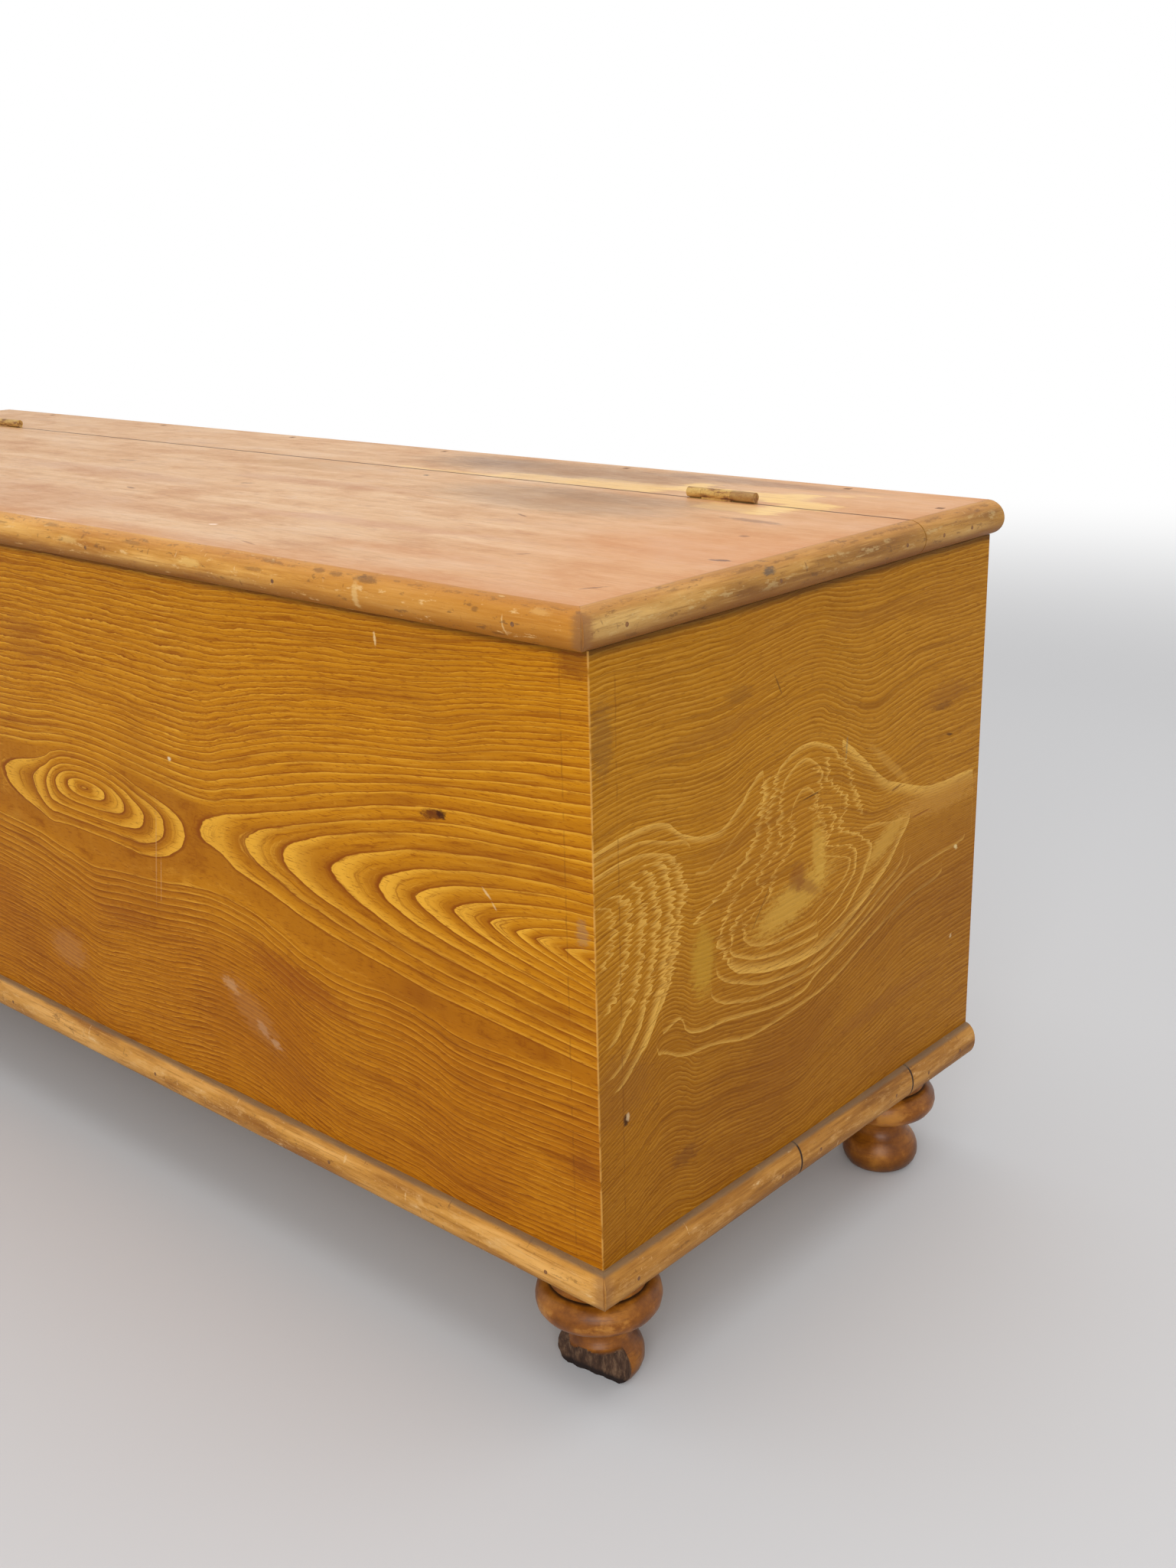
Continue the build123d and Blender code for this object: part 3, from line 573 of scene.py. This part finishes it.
# Stains and marks on the top, in mm from the near right corner of the case
topStains = [
    (-385, 406, 170, 40, 2, (134, 96, 64), 0.66), (-480, 420, 70, 30, 0, (116, 84, 62), 0.45),
    (-200, 434, 110, 14, 0, (130, 90, 66), 0.6), (-620, 312, 66, 20, 0, (186, 140, 90), 0.5),
    (-280, 280, 130, 50, -3, (150, 112, 76), 0.62), (-240, 312, 110, 20, 0, (138, 100, 66), 0.5),
    (-610, 315, 74, 24, 0, (196, 146, 98), 0.4),
    (-40, 180, 120, 60, 10, (206, 128, 62), 0.35), (-700, 60, 200, 50, 0, (188, 130, 88), 0.4),
    (-520, 240, 120, 14, 3, (186, 130, 92), 0.45), (-760, 180, 160, 20, -2, (182, 124, 84), 0.4),
    (-330, 120, 140, 10, 4, (196, 140, 104), 0.5), (-210, 60, 90, 16, 0, (200, 136, 84), 0.5),
]
# Bare wood round the right hinge, where the finish came off: middle, half size, strength
strawPatches = [
    ((-470, 350), (72, 5), 0.5), ((-330, 360), (92, 15), 0.6), ((-290, 368), (52, 18), 0.4),
    ((-231, 388), (11, 21), 0.95), ((-178, 380), (45, 15), 0.9), ((-129, 380), (14, 24), 0.95),
    ((-96, 357), (22, 15), 0.9), ((-109, 325), (12, 19), 0.95), ((-142, 322), (28, 14), 0.4),
    ((-102, 412), (9, 5), 0.5), ((-88, 422), (8, 4), 0.5),
]
topMarks = [
    (-470, 321, 3.4, 2.2, 0, (36, 20, 14), 0.95), (-570, 204, 6, 2.4, 20, (110, 66, 40), 0.7),
    (-635, 132, 8, 2, -10, (110, 66, 40), 0.7), (-92, 282, 26, 5, -4, (140, 100, 76), 0.6),
    (-20, 150, 7, 3, 15, (96, 56, 34), 0.8), (-415, 54, 4, 2.4, 0, (250, 226, 206), 0.8),
    (-560, -2, 26, 2, 8, (244, 214, 190), 0.5), (-250, 210, 9, 1.2, -25, (128, 78, 48), 0.7),
    (-30, 40, 8, 1.6, 60, (120, 70, 36), 0.7), (-330, 20, 12, 1.2, -14, (140, 84, 52), 0.6),
    (-800, 240, 10, 2, 10, (120, 76, 50), 0.6), (-905, 120, 9, 2, -20, (120, 76, 50), 0.6),
    (-1100, 200, 14, 3, 5, (120, 76, 50), 0.6), (-1230, 90, 10, 2, 30, (120, 76, 50), 0.6),
    (-60, 228, 4, 3, 0, (120, 70, 40), 0.6), (-140, 96, 5, 1.5, 40, (128, 78, 48), 0.6),
]


def topFinish():
    f = Finish("worn_top_pine", 0.5, 0.3)
    x, y = f.x - chest["end"], f.y - chest["front"]
    ripple = f.blotch((x * 0.004, y * 0.01), 3.0)
    rings = f.blotch((x * 0.003, y * 0.05 + ripple * 2.4), 4.0, 0.6)
    fine = f.blotch((x * 0.018, y * 0.55), 6.0, 0.75)
    hair = f.blotch((x * 0.05, y * 1.6), 3.0, 0.7)
    cloud = f.blotch((x * 0.01, y * 0.018, 4.0), 5.0, 0.65)
    scuff = f.blotch((x * 0.022, y * 0.05, 9.0), 6.0, 0.75)
    tints = [(0.28, (204, 154, 104)), (0.5, (218, 172, 124)), (0.72, (230, 190, 146))]
    colour = f.tones(rings, tints)
    colour = f.coats(colour, [
        (cloud, 0.46, 0.68, 0.6, (188, 132, 90)),
        (scuff, 0.52, 0.66, 0.4, (176, 122, 84)),
        (scuff, 0.46, 0.34, 0.35, (228, 190, 156)),
        (fine, 0.5, 0.68, 0.6, (164, 110, 72)),
        (hair, 0.52, 0.7, 0.5, (150, 98, 64)),
        (x, -330.0, 20.0, 0.55, (212, 140, 74)),
    ])
    nearEdge = f.fall(y, 0.0, 26.0 + cloud * 20.0).above(f.rise(x, -24.0, 4.0))
    colour = f.lay(nearEdge * 0.45, colour, (196, 122, 52))
    driftX, driftY = x + (fine - 0.5) * 120.0, y + (cloud - 0.5) * 30.0
    colour = addMarks(f, colour, driftX, driftY, topStains, 1.0, 0.8)
    # pale grain through the stains
    colour = f.lay(f.rise(fine, 0.52, 0.38) * f.rise(y, 240.0, 330.0) * 0.4, colour, (208, 162, 118))
    colour = f.lay(f.rise(hair, 0.5, 0.36) * 0.25, colour, (236, 200, 160))
    tornX = x + (fine - 0.5) * 80.0 + (scuff - 0.5) * 20.0
    tornY = y + (scuff - 0.5) * 22.0 + (hair - 0.5) * 5.0
    for middle, half, strength in strawPatches:
        patch = f.panel(tornX, tornY, middle, half, 2.0)
        colour = f.lay(patch * strength * f.rise(fine, 0.66, 0.5), colour, (240, 198, 126))
    colour = addMarks(f, colour, x, y, topMarks, 1.0)
    seam = f.fall(abs(y - (chest["seam"] - chest["front"])), 0.8, 2.6)
    colour = f.lay(seam * 0.75, colour, (84, 52, 30))
    ends = f.fall(abs(abs(f.x) - chest["topEnd"]), 0.1, 0.9)
    colour = f.lay(ends * 0.5, colour, (120, 76, 40))
    bare, _ = barePine(f, f.x, f.y + f.z)
    onTop = f.z.over(chest["topFace"])
    colour = f.lay(onTop, bare, colour)
    rough = 0.42 + f.rise(cloud, 0.3, 0.7) * 0.16 + (1.0 - onTop) * 0.3
    return f.done(colour, rough, fine * 0.7 + rings * 0.3 + scuff * 0.5, 0.0004)


# The strips' paint: light, middle and dark
stripTints = {
    "nosing_paint_front": ((232, 178, 96), (206, 146, 62), (168, 104, 28)),
    "nosing_paint_end": ((206, 160, 90), (174, 124, 54), (128, 82, 28)),
    "moulding_paint_front": ((226, 170, 92), (198, 140, 58), (150, 94, 26)),
    "moulding_paint_end": ((196, 142, 66), (164, 110, 40), (122, 74, 18)),
}


def stripFinish(name, alongX):
    light, mid, dark = stripTints[name]
    f = Finish(name, 0.45, 0.25)
    along, across = (f.x, f.y) if alongX else (f.y, f.x)
    fine = f.blotch((along * 0.02, across * 0.6, f.z * 0.6), 6.0, 0.76)
    cloud = f.blotch((along * 0.008, across * 0.05, f.z * 0.07), 4.0, 0.6)
    chips = f.blotch((along * 0.05, across * 0.12, f.z * 0.16), 6.0, 0.74)
    nicks = f.blotch((along * 0.22, across * 0.05, f.z * 0.07), 4.0, 0.6)
    colour = f.tones(cloud, [(0.32, dark), (0.5, mid), (0.68, light)])
    colour = f.coats(colour, [
        (fine, 0.5, 0.68, 0.7, dark),
        (fine, 0.47, 0.32, 0.5, light),
        (nicks, 0.66, 0.72, 0.6, (112, 70, 30)),
        (nicks, 0.33, 0.28, 0.5, (230, 194, 138)),
    ])
    return f, colour, fine, chips


# Bruises of the front nosing: here up is the height above the floor
nosingMarks = [
    (-218, 539, 5, 1.2, 0, (112, 70, 32), 0.55), (-200, 538.6, 6, 1.3, 0, (112, 70, 32), 0.5),
    (-172, 538.5, 11, 1.8, 0, (98, 62, 32), 0.6), (-178, 529, 3, 9, 8, (226, 188, 122), 0.5),
    (-73, 533, 3, 1.6, 0, (98, 60, 26), 0.5), (-50, 527, 0.7, 6, 10, (232, 198, 136), 0.5),
    (-56, 520.5, 5, 1, 0, (110, 66, 20), 0.6), (-350, 531, 14, 3, 0, (228, 186, 108), 0.5),
    (-420, 537, 12, 1.2, 0, (120, 80, 40), 0.45), (-330, 524, 18, 2, 0, (150, 96, 40), 0.5),
    (-500, 532, 12, 3, 0, (226, 184, 110), 0.5), (-280, 534, 9, 1.2, 0, (120, 82, 42), 0.45),
    (-600, 536, 14, 1.3, 0, (120, 80, 40), 0.45), (-24, 537, 8, 1.6, 0, (214, 164, 92), 0.5),
]


def nosingFinish(name, alongX):
    f, colour, fine, chips = stripFinish(name, alongX)
    crown, under = f.rise(f.z, 534.0, 541.0), f.fall(f.z, 518.0, 530.0)
    colour = f.lay(crown * 0.5, colour, (206, 142, 70))
    # painted shade on the nosing's downward-facing underside
    colour = f.lay(under * 0.8, colour, (126, 72, 16))
    if alongX:
        # the right-hand stretch keeps its orange paint
        colour = f.coats(colour, [
            (f.x, 380.0, 560.0, 0.55, (184, 116, 20)), (chips, 0.6, 0.66, 0.6, (232, 192, 130))])
        colour = addMarks(f, colour, f.x - chest["end"], f.z, nosingMarks, 1.0)
    else:
        belt = f.fall(abs(f.z - 531.0), 3.0, 8.0)
        colour = f.lay(f.rise(chips, 0.54, 0.62) * belt * 0.4, colour, (208, 180, 124))
        colour = f.lay(f.fall(f.y, -216.0, -150.0) * belt * 0.2, colour, (196, 170, 112))
    colour = f.lay(f.rise(chips, 0.41, 0.36) * 0.55, colour, (104, 66, 30))
    lip = f.fall(abs(f.z - 539.4), 0.3, 1.6)
    colour = f.lay(lip * f.rise(chips, 0.5, 0.6) * 0.5, colour, (110, 70, 34))
    corner = abs(abs(f.x) - 699.0) + abs(f.y + 233.0)
    bareCorner = f.fall(corner + (chips - 0.5) * 14.0, 4.0, 11.0)
    colour = f.lay(bareCorner * 0.85, colour, (146, 98, 50))
    if not alongX:
        # the grey smudge half way along the right-hand nosing
        smudge = f.oval(f.y, f.z, (-58.0, 536.0), (6.0, 2.2), 0.6, (chips - 0.5) * 9.0)
        smudge = smudge * f.x.over(chest["topEnd"] + 1.0)
        colour = f.lay(smudge * 0.7, colour, (62, 62, 62))
    return f.done(colour, 0.42 + chips * 0.2, fine + chips * 0.9, 0.0005)


def mouldingFinish(name, alongX):
    f, colour, fine, chips = stripFinish(name, alongX)
    dust = f.rise(f.z + (chips - 0.5) * 2.0, 107.6, 109.6)
    crown = f.fall(abs(f.z - 99.0), 3.0, 9.0)
    rubbed = 0.5 if alongX else 0.3
    colour = f.lay(crown * f.rise(chips, 0.5, 0.6) * rubbed, colour, (218, 170, 104))
    colour = f.coats(colour, [
        (chips, 0.63, 0.67, 0.6, (226, 190, 136)), (chips, 0.4, 0.34, 0.5, (98, 58, 22))])
    if not alongX:
        # butt joints between the three pieces of the right-hand strip
        first, second = (abs(f.y - joint) for joint in chest["rightJoints"])
        away = (first.below(second) - 0.3) * f.x.over(0.0) + (-f.x).over(0.0)
        colour = f.lay(f.fall(away, 0.2, 1.2), colour, (52, 32, 18))
    corner = abs(abs(f.x) - 697.0) + abs(f.y + 226.0)
    bareCorner = f.fall(corner + (chips - 0.5) * 20.0, 4.0, 13.0)
    colour = f.lay(bareCorner * 0.6, colour, (142, 96, 50))
    colour = f.lay(dust * 0.75, colour, (112, 92, 70))
    # painted shade on the moulding's downward-facing lower edge
    colour = f.lay(f.fall(f.z, 83.0, 90.0) * 0.6, colour, (96, 58, 22))
    return f.done(colour, 0.42 + chips * 0.2, fine + chips * 0.9, 0.0005)


foot = {
    # radius and height in mm, from the floor to the tenon's top
    "profile": [
        (0, 0.3), (20, 0.2), (23.5, 0.4), (26.6, 2.6), (29.0, 6.2), (30.3, 10), (30.5, 13.5),
        (30.1, 17.5), (28.8, 21.5), (26.6, 25.5), (24.4, 28.1), (22.3, 30.2), (20.9, 33),
        (20.1, 36), (20.0, 39), (21.0, 42), (23.2, 45), (26.8, 47.4), (31.3, 48.4), (35.9, 49.3),
        (39.8, 51.9), (42.4, 55.8), (43.3, 60.4), (42.4, 65), (39.8, 68.9), (36.5, 71.2),
        (34.4, 71.9), (33.1, 72.5), (34.0, 73.4), (34.2, 78), (34.0, 82.4), (12.0, 82.4),
        (11.9, 84), (11.9, 102.0), (0, 102.1)],
    "steps": 72,
    "merge": 0.02,
    "tenon": 13.0,  # inside this radius nothing is dented
    "shoulder": 82.0,
    "dent": 0.5,
    "splitFrom": 0.3,  # heights between which the broken foot gets a finer mesh
    "splitTo": 34.0,
    "breakPlane": 9.0,  # from the foot's axis to the split face
    "breakLean": 1.5,
    "breakTop": 27.5,
    "breakTurn": math.radians(7.2),
    "places": {
        "front_right": (654.8, -183.8), "front_left": (-654.8, -183.8),
        "rear_right": (654.8, 169.0), "rear_left": (-654.8, 169.0)},
}


def footFinish():
    f = Finish("turned_foot_paint", 0.3, 0.28)
    fine = f.blotch((f.x * 0.05, f.y * 0.05, f.z * 0.6), 5.0, 0.7)
    cloud = f.blotch((f.x * 0.04, f.y * 0.04, f.z * 0.05), 5.0, 0.65)
    colour = f.tones(cloud, [(0.32, (94, 48, 4)), (0.5, (130, 74, 12)), (0.68, (168, 106, 30))])
    colour = f.lay(f.rise(fine, 0.5, 0.76) * 0.6, colour, (78, 40, 10))
    ringHeight, grooveHeight = 60.4, 72.6
    worn = f.fall(abs(f.z - ringHeight), 1.0, 6.0)
    colour = f.lay(worn * f.rise(cloud, 0.5, 0.62) * 0.4, colour, (190, 134, 64))
    # painted shade in the groove between the collar and the ring
    grooveShade = f.fall(abs(f.z - grooveHeight), 0.4, 1.3)
    colour = f.lay(grooveShade * 0.9, colour, (34, 18, 8))
    # painted shade on the bun's underside, towards the floor
    colour = f.lay(f.fall(f.z, 3.0, 22.0) * 0.5, colour, (70, 44, 22))
    # the break in the near foot
    slant, (nearX, nearY) = foot["breakTurn"], foot["places"]["front_right"]
    behind = (f.x - nearX) * -math.sin(slant) + (f.y - nearY) * math.cos(slant)
    nearFoot = f.x.over(600.0) * (-f.y).over(100.0)
    split, breakTop = f.rise(-behind, 6.6, 7.6), foot["breakTop"]
    broken = split * f.fall(f.z, breakTop - 0.5, breakTop + 2.0) * nearFoot
    fibre = f.blotch((f.x * 0.25, f.y * 0.25, f.z * 0.07), 5.0, 0.7)
    torn = f.tones(fibre, [(0.3, (36, 22, 14)), (0.5, (70, 48, 34)), (0.7, (122, 94, 70))])
    # painted shade at the bottom of the split face, next to the floor
    torn = f.lay(f.fall(f.z, 3.0, 7.0), torn, (30, 18, 14))
    colour = f.lay(broken, colour, torn)
    rough = 0.3 + broken * 0.5 + fine * 0.12
    return f.done(colour, rough, fine * 0.4 + fibre * broken * 3.0, 0.0004)


def ironFinish():
    f = Finish("hinge_iron_paint", 0.5)
    rust = f.blotch((f.x * 0.06, f.y * 0.25, f.z * 0.25), 5.0, 0.65)
    fine = f.blotch((f.x, f.y, f.z), 4.0, 0.7, scale=0.5)
    pale, mid, brown, dark = (206, 170, 96), (188, 146, 74), (140, 94, 46), (88, 54, 32)
    colour = f.tones(rust, [(0.36, pale), (0.52, mid), (0.6, brown), (0.7, dark)])
    colour = f.lay(f.rise(fine, 0.52, 0.66) * 0.5, colour, (110, 70, 38))
    # the right hinge is browner at its right end
    colour = f.lay(f.rise(f.x, 533.0, 536.0) * 0.5, colour, (112, 64, 34))
    return f.done(colour, 0.42 + rust * 0.3, rust + fine * 0.5, 0.0003)


def nailFinish():
    f = Finish("nail_iron_painted", 0.65)
    rust = f.blotch((f.x, f.y, f.z), 4.0, scale=0.5)
    colour = f.tones(rust, [(0.35, (104, 66, 34)), (0.6, (138, 92, 48))])
    return f.done(colour, 0.6 + rust * 0.2, rust, 0.0003)


def pineFinish():
    f = Finish("bare_pine_aged", 0.7)
    colour, fine = barePine(f, f.x, f.y + f.z * 0.7)
    return f.done(colour, 0.7 + fine * 0.1, fine, 0.0004)


# The case's boards: how far the front's and the end's lines and marks reach on each
finishes = {
    "caseFront": caseFinish("front", (-1383, 0), (-10, 26)),
    "caseBack": caseFinish("back", (-20, 0), (430, 470)),
    "caseEnd": caseFinish("end", (-26, 0), (-10, 470)),
    "top": topFinish(),
    "nosingFront": nosingFinish("nosing_paint_front", True),
    "nosingEnd": nosingFinish("nosing_paint_end", False),
    "mouldingFront": mouldingFinish("moulding_paint_front", True),
    "mouldingEnd": mouldingFinish("moulding_paint_end", False),
    "foot": footFinish(),
    "iron": ironFinish(),
    "nail": nailFinish(),
    "pine": pineFinish(),
}
print("finishes mixed:", len(finishes))


def keepPiece(name, bm, finish, body, slot, *replaced):
    mesh = bpy.data.meshes.new(name)
    bm.to_mesh(mesh)
    bm.free()
    mesh.shade_smooth()
    mesh.set_sharp_from_angle(angle=math.radians(40))
    mesh.materials.append(finishes[finish])
    piece = bpy.data.objects.new(name, mesh)
    bpy.context.scene.collection.objects.link(piece)
    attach(piece, body)
    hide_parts(*replaced)


strips = {
    "round": 36,  # points around the whole section
    "step": 6.0,  # mm between the rings along a strip
    "jointGap": 0.15,
    "mitreZone": 30.0,  # mm over which the rings lean over into the mitre
    "dent": 0.7,
    "cornerWear": 1.6,
    "cornerReach": 14.0,
}


def wornStrip(start, stop, outward, low, high, depth, mitres):
    start, stop, outward = (Vector((*flat, 0)) for flat in (start, stop, outward))
    length = (stop - start).length
    along = (stop - start).normalized()
    half = (high - low) / 2
    bm = bmesh.new()
    bmesh.ops.create_circle(bm, cap_ends=True, radius=1.0, segments=strips["round"])
    for corner in bm.verts:
        corner.co = Vector((0.0, max(0.0, corner.co.x) * depth, corner.co.y * half))
    sheet = bmesh.ops.extrude_face_region(bm, geom=bm.faces[:])
    far = [g for g in sheet["geom"] if isinstance(g, bmesh.types.BMVert)]
    bmesh.ops.translate(bm, verts=far, vec=(length, 0, 0))
    longEdges = [e for e in bm.edges if abs(e.verts[0].co.x - e.verts[1].co.x) > length / 2]
    cuts = int(length / strips["step"])
    bmesh.ops.subdivide_edges(bm, edges=longEdges, cuts=cuts, use_grid_fill=True)
    corners = []
    if mitres[0]:
        corners.append(start + (outward - along) * depth)
    if mitres[1]:
        corners.append(stop + (outward + along) * depth)
    for v in bm.verts:
        run, out, up = v.co
        zone = strips["mitreZone"]
        if mitres[0]:
            run -= (out - strips["jointGap"]) * max(0.0, 1 - run / zone)
        if mitres[1]:
            run += (out - strips["jointGap"]) * max(0.0, 1 - (length - v.co.x) / zone)
        place = start + along * run + outward * out + Vector((0, 0, low + half + up))
        if out > depth * 0.05:
            bite = noise.noise(place * 0.045) * 0.5 + noise.noise(place * 0.14) * 0.35
            wear = strips["dent"] * max(0.0, bite - 0.1) * 2.2
            for corner in corners:
                near = (place - corner).to_2d().length / strips["cornerReach"]
                wear += strips["cornerWear"] * math.exp(-(near ** 2)) * (1 + bite)
            place -= outward * wear * (out / depth)
        v.co = place * mm
    bmesh.ops.recalc_face_normals(bm, faces=bm.faces[:])
    return bm


# Each kind's section, and its board's half length and front edge
nosing = dict(low=chest["topUnder"], high=chest["top"], depth=14.0)
moulding = dict(low=chest["boxFloor"], high=chest["mouldingTop"], depth=9.4)
stripKinds = {
    "nosing": (nosing, chest["topEnd"], chest["lidFront"]),
    "moulding": (moulding, chest["end"], chest["front"]),
}
front, back, (jointA, jointB), gap = chest["front"], chest["back"], chest["rightJoints"], 0.2
lidFront, lidBack, railFront = chest["lidFront"], chest["lidBack"], chest["railFront"]

# node, side (0 is the front), start and stop along that side, whether mitred in front
stripPlan = [
    ("lid_nosing_front", 0, -chest["topEnd"], chest["topEnd"], True),
    ("lid_nosing_right", 1, lidFront, lidBack, True),
    ("lid_nosing_left", -1, lidFront, lidBack, True),
    ("rail_nosing_right", 1, railFront, back, False),
    ("rail_nosing_left", -1, railFront, back, False),
    ("base_moulding_front", 0, -chest["end"], chest["end"], True),
    ("base_moulding_left", -1, front, back, True),
    ("base_moulding_right_front", 1, front, jointA - gap, True),
    ("base_moulding_right_middle", 1, jointA + gap, jointB - gap, False),
    ("base_moulding_right_rear", 1, jointB + gap, back, False),
]
for node, side, start, stop, mitred in stripPlan:
    kind = "nosing" if "nosing" in node else "moulding"
    section, halfLength, frontEdge = stripKinds[kind]
    ends, outward = ((start, frontEdge), (stop, frontEdge)), (0, -1)
    if side:
        ends, outward = ((side * halfLength, start), (side * halfLength, stop)), (side, 0)
    bm = wornStrip(*ends, outward, mitres=(mitred, not side), **section)
    body = "lid" if node.startswith("lid") else "chest"
    keepPiece(f"{node}_worn", bm, kind + ("End" if side else "Front"), body, "moulding", node)
print("strips:", len(stripPlan))


def turnedFoot(place, broken):
    place = Vector((*place, 0))
    bm = bmesh.new()
    last = None
    for radius, height in foot["profile"]:
        spot = bm.verts.new((radius, 0, height))
        if last:
            bm.edges.new((last, spot))
        last = spot
    bmesh.ops.spin(bm, geom=bm.verts[:] + bm.edges[:], axis=(0, 0, 1), cent=(0, 0, 0),
                   angle=math.tau, steps=foot["steps"], use_merge=True)
    bmesh.ops.remove_doubles(bm, verts=bm.verts[:], dist=foot["merge"])
    if broken:
        low, high = foot["splitFrom"], foot["splitTo"]
        finer = [e for e in bm.edges if all(low < v.co.z < high for v in e.verts)]
        bmesh.ops.subdivide_edges(bm, edges=finer, cuts=2, use_grid_fill=True)
    turn = foot["breakTurn"]
    ahead = Vector((math.sin(turn), -math.cos(turn), 0))
    for v in bm.verts:
        co = v.co.copy()
        flat = Vector((co.x, co.y, 0))
        if flat.length > foot["tenon"] and co.z < foot["shoulder"]:
            world = co + place
            bite = noise.noise(world * 0.055) * 0.7 + noise.noise(world * 0.17) * 0.3 - 0.05
            co -= flat.normalized() * foot["dent"] * max(0.0, bite) * 2
            flat = Vector((co.x, co.y, 0))
        reach = flat.dot(ahead)
        if broken and co.z < foot["breakTop"] + noise.noise(co * 0.09) * 4.0:
            fibres = noise.noise(Vector((co.x * 0.16, 3.0, co.z * 0.06))) * 1.6
            rough = fibres + noise.noise(co * 0.42) * 0.6
            limit = foot["breakPlane"] + rough + foot["breakLean"] * co.z / foot["breakTop"]
            if reach > limit:
                co -= ahead * (reach - limit)
        v.co = (co + place) * mm
    bmesh.ops.recalc_face_normals(bm, faces=bm.faces[:])
    return bm


for name, place in foot["places"].items():
    bm = turnedFoot(place, name == "front_right")
    keepPiece(f"foot_{name}_turned", bm, "foot", "chest", "turned_foot", f"foot_{name}")
print("feet:", len(foot["places"]))

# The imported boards, hinges and nails keep their shapes and get these finishes
kept = {
    "caseFront": ["front_board"],
    "caseBack": ["back_board"],
    "caseEnd": ["end_board_right", "end_board_left"],
    "top": ["lid_board", "rear_rail"],
    "pine": ["bottom_board_front", "bottom_board_rear", "foot_wedges"],
    "iron": [name for name in nodes if name.startswith("hinge")],
    "nail": [name for name in nodes if name.endswith(("nails", "brads"))],
}
for finish, names in kept.items():
    for name in names:
        nodes[name].data.materials.clear()
        nodes[name].data.materials.append(finishes[finish])
print("packed nodes dressed:", sum(len(names) for names in kept.values()))


setting = {
    "floorGrey": (0.62, 0.62, 0.63, 1),
    "floorHalf": 30,
    "floorMiddle": (300.0, 100.0),  # mm; from here out the floor runs into the white
    "floorFade": (1500.0, 3600.0),
    "worldLight": 0.62,
    "lampAim": (0.3, 0, 0.3),
    # place, whether aimed, size and power
    "lamps": {
        "ceiling": ((0.5, 0.3, 3.2), False, 3.0, 36),
        "fill": ((2.8, -3.0, 1.6), True, 2.4, 84)},
    "lens": 38.943,
    "sensor": 36.0,
    "cameraPlace": (1.3115, -0.9126, 0.7413),
    "cameraTurn": (71.8577, 1.3832, 41.4899),
}


def mixInto(tree, output, share, first, second):
    mixer = tree.nodes.new("ShaderNodeMixShader")
    for socket, source in zip(mixer.inputs, (share, first, second)):
        tree.links.new(source, socket)
    tree.links.new(mixer.outputs[0], tree.nodes[output].inputs[0])


def studio():
    scene = bpy.context.scene
    # pale floor that runs out to the white of the backdrop, where only the camera sees it
    f = Finish("studio_floor", 0.9)
    f.shader.inputs["Base Color"].default_value = setting["floorGrey"]
    middleX, middleY = setting["floorMiddle"]
    away = ((f.x - middleX) ** 2.0 + (f.y - middleY) ** 2.0) ** 0.5
    path = f.node("LightPath")
    fade = f.rise(away, *setting["floorFade"]) * Wire(f, path.outputs["Is Camera Ray"])
    white = f.node("Emission")
    mixInto(f.tree, "Material Output", fade.socket, f.shader.outputs[0], white.outputs[0])
    bm = bmesh.new()
    bmesh.ops.create_grid(bm, x_segments=2, y_segments=2, size=setting["floorHalf"])
    mesh = bpy.data.meshes.new("studio_floor")
    bm.to_mesh(mesh)
    bm.free()
    mesh.materials.append(f.material)
    floor = bpy.data.objects.new("studio_floor", mesh)
    scene.collection.objects.link(floor)

    # the camera and glossy surfaces see white, while less than that lights the chest
    world = bpy.data.worlds.new("studio")
    scene.world = world
    world.use_nodes = True
    tree = world.node_tree
    lit, seen = tree.nodes["Background"], tree.nodes.new("ShaderNodeBackground")
    for light, strength in ((lit, setting["worldLight"]), (seen, 1.0)):
        light.inputs[0].default_value = (1, 1, 1, 1)
        light.inputs[1].default_value = strength
    path = tree.nodes.new("ShaderNodeLightPath")
    either = tree.nodes.new("ShaderNodeMath")
    either.operation = "MAXIMUM"
    tree.links.new(path.outputs["Is Camera Ray"], either.inputs[0])
    tree.links.new(path.outputs["Is Glossy Ray"], either.inputs[1])
    mixInto(tree, "World Output", either.outputs[0], lit.outputs[0], seen.outputs[0])

    for name, (place, aimed, size, power) in setting["lamps"].items():
        data = bpy.data.lights.new(name, "AREA")
        data.shape, data.size, data.energy = "SQUARE", size, power
        lamp = bpy.data.objects.new(name, data)
        lamp.location = place
        if aimed:
            toAim = Vector(setting["lampAim"]) - Vector(place)
            lamp.rotation_euler = toAim.to_track_quat("-Z", "Y").to_euler()
        scene.collection.objects.link(lamp)

    view = bpy.data.cameras.new("photo_view")
    view.lens, view.sensor_width = setting["lens"], setting["sensor"]
    camera = bpy.data.objects.new("photo_view", view)
    camera.location = setting["cameraPlace"]
    camera.rotation_euler = Euler([math.radians(turn) for turn in setting["cameraTurn"]], "XYZ")
    scene.collection.objects.link(camera)
    scene.camera = camera
    scene.view_settings.view_transform = "Standard"


studio()
print("studio set")
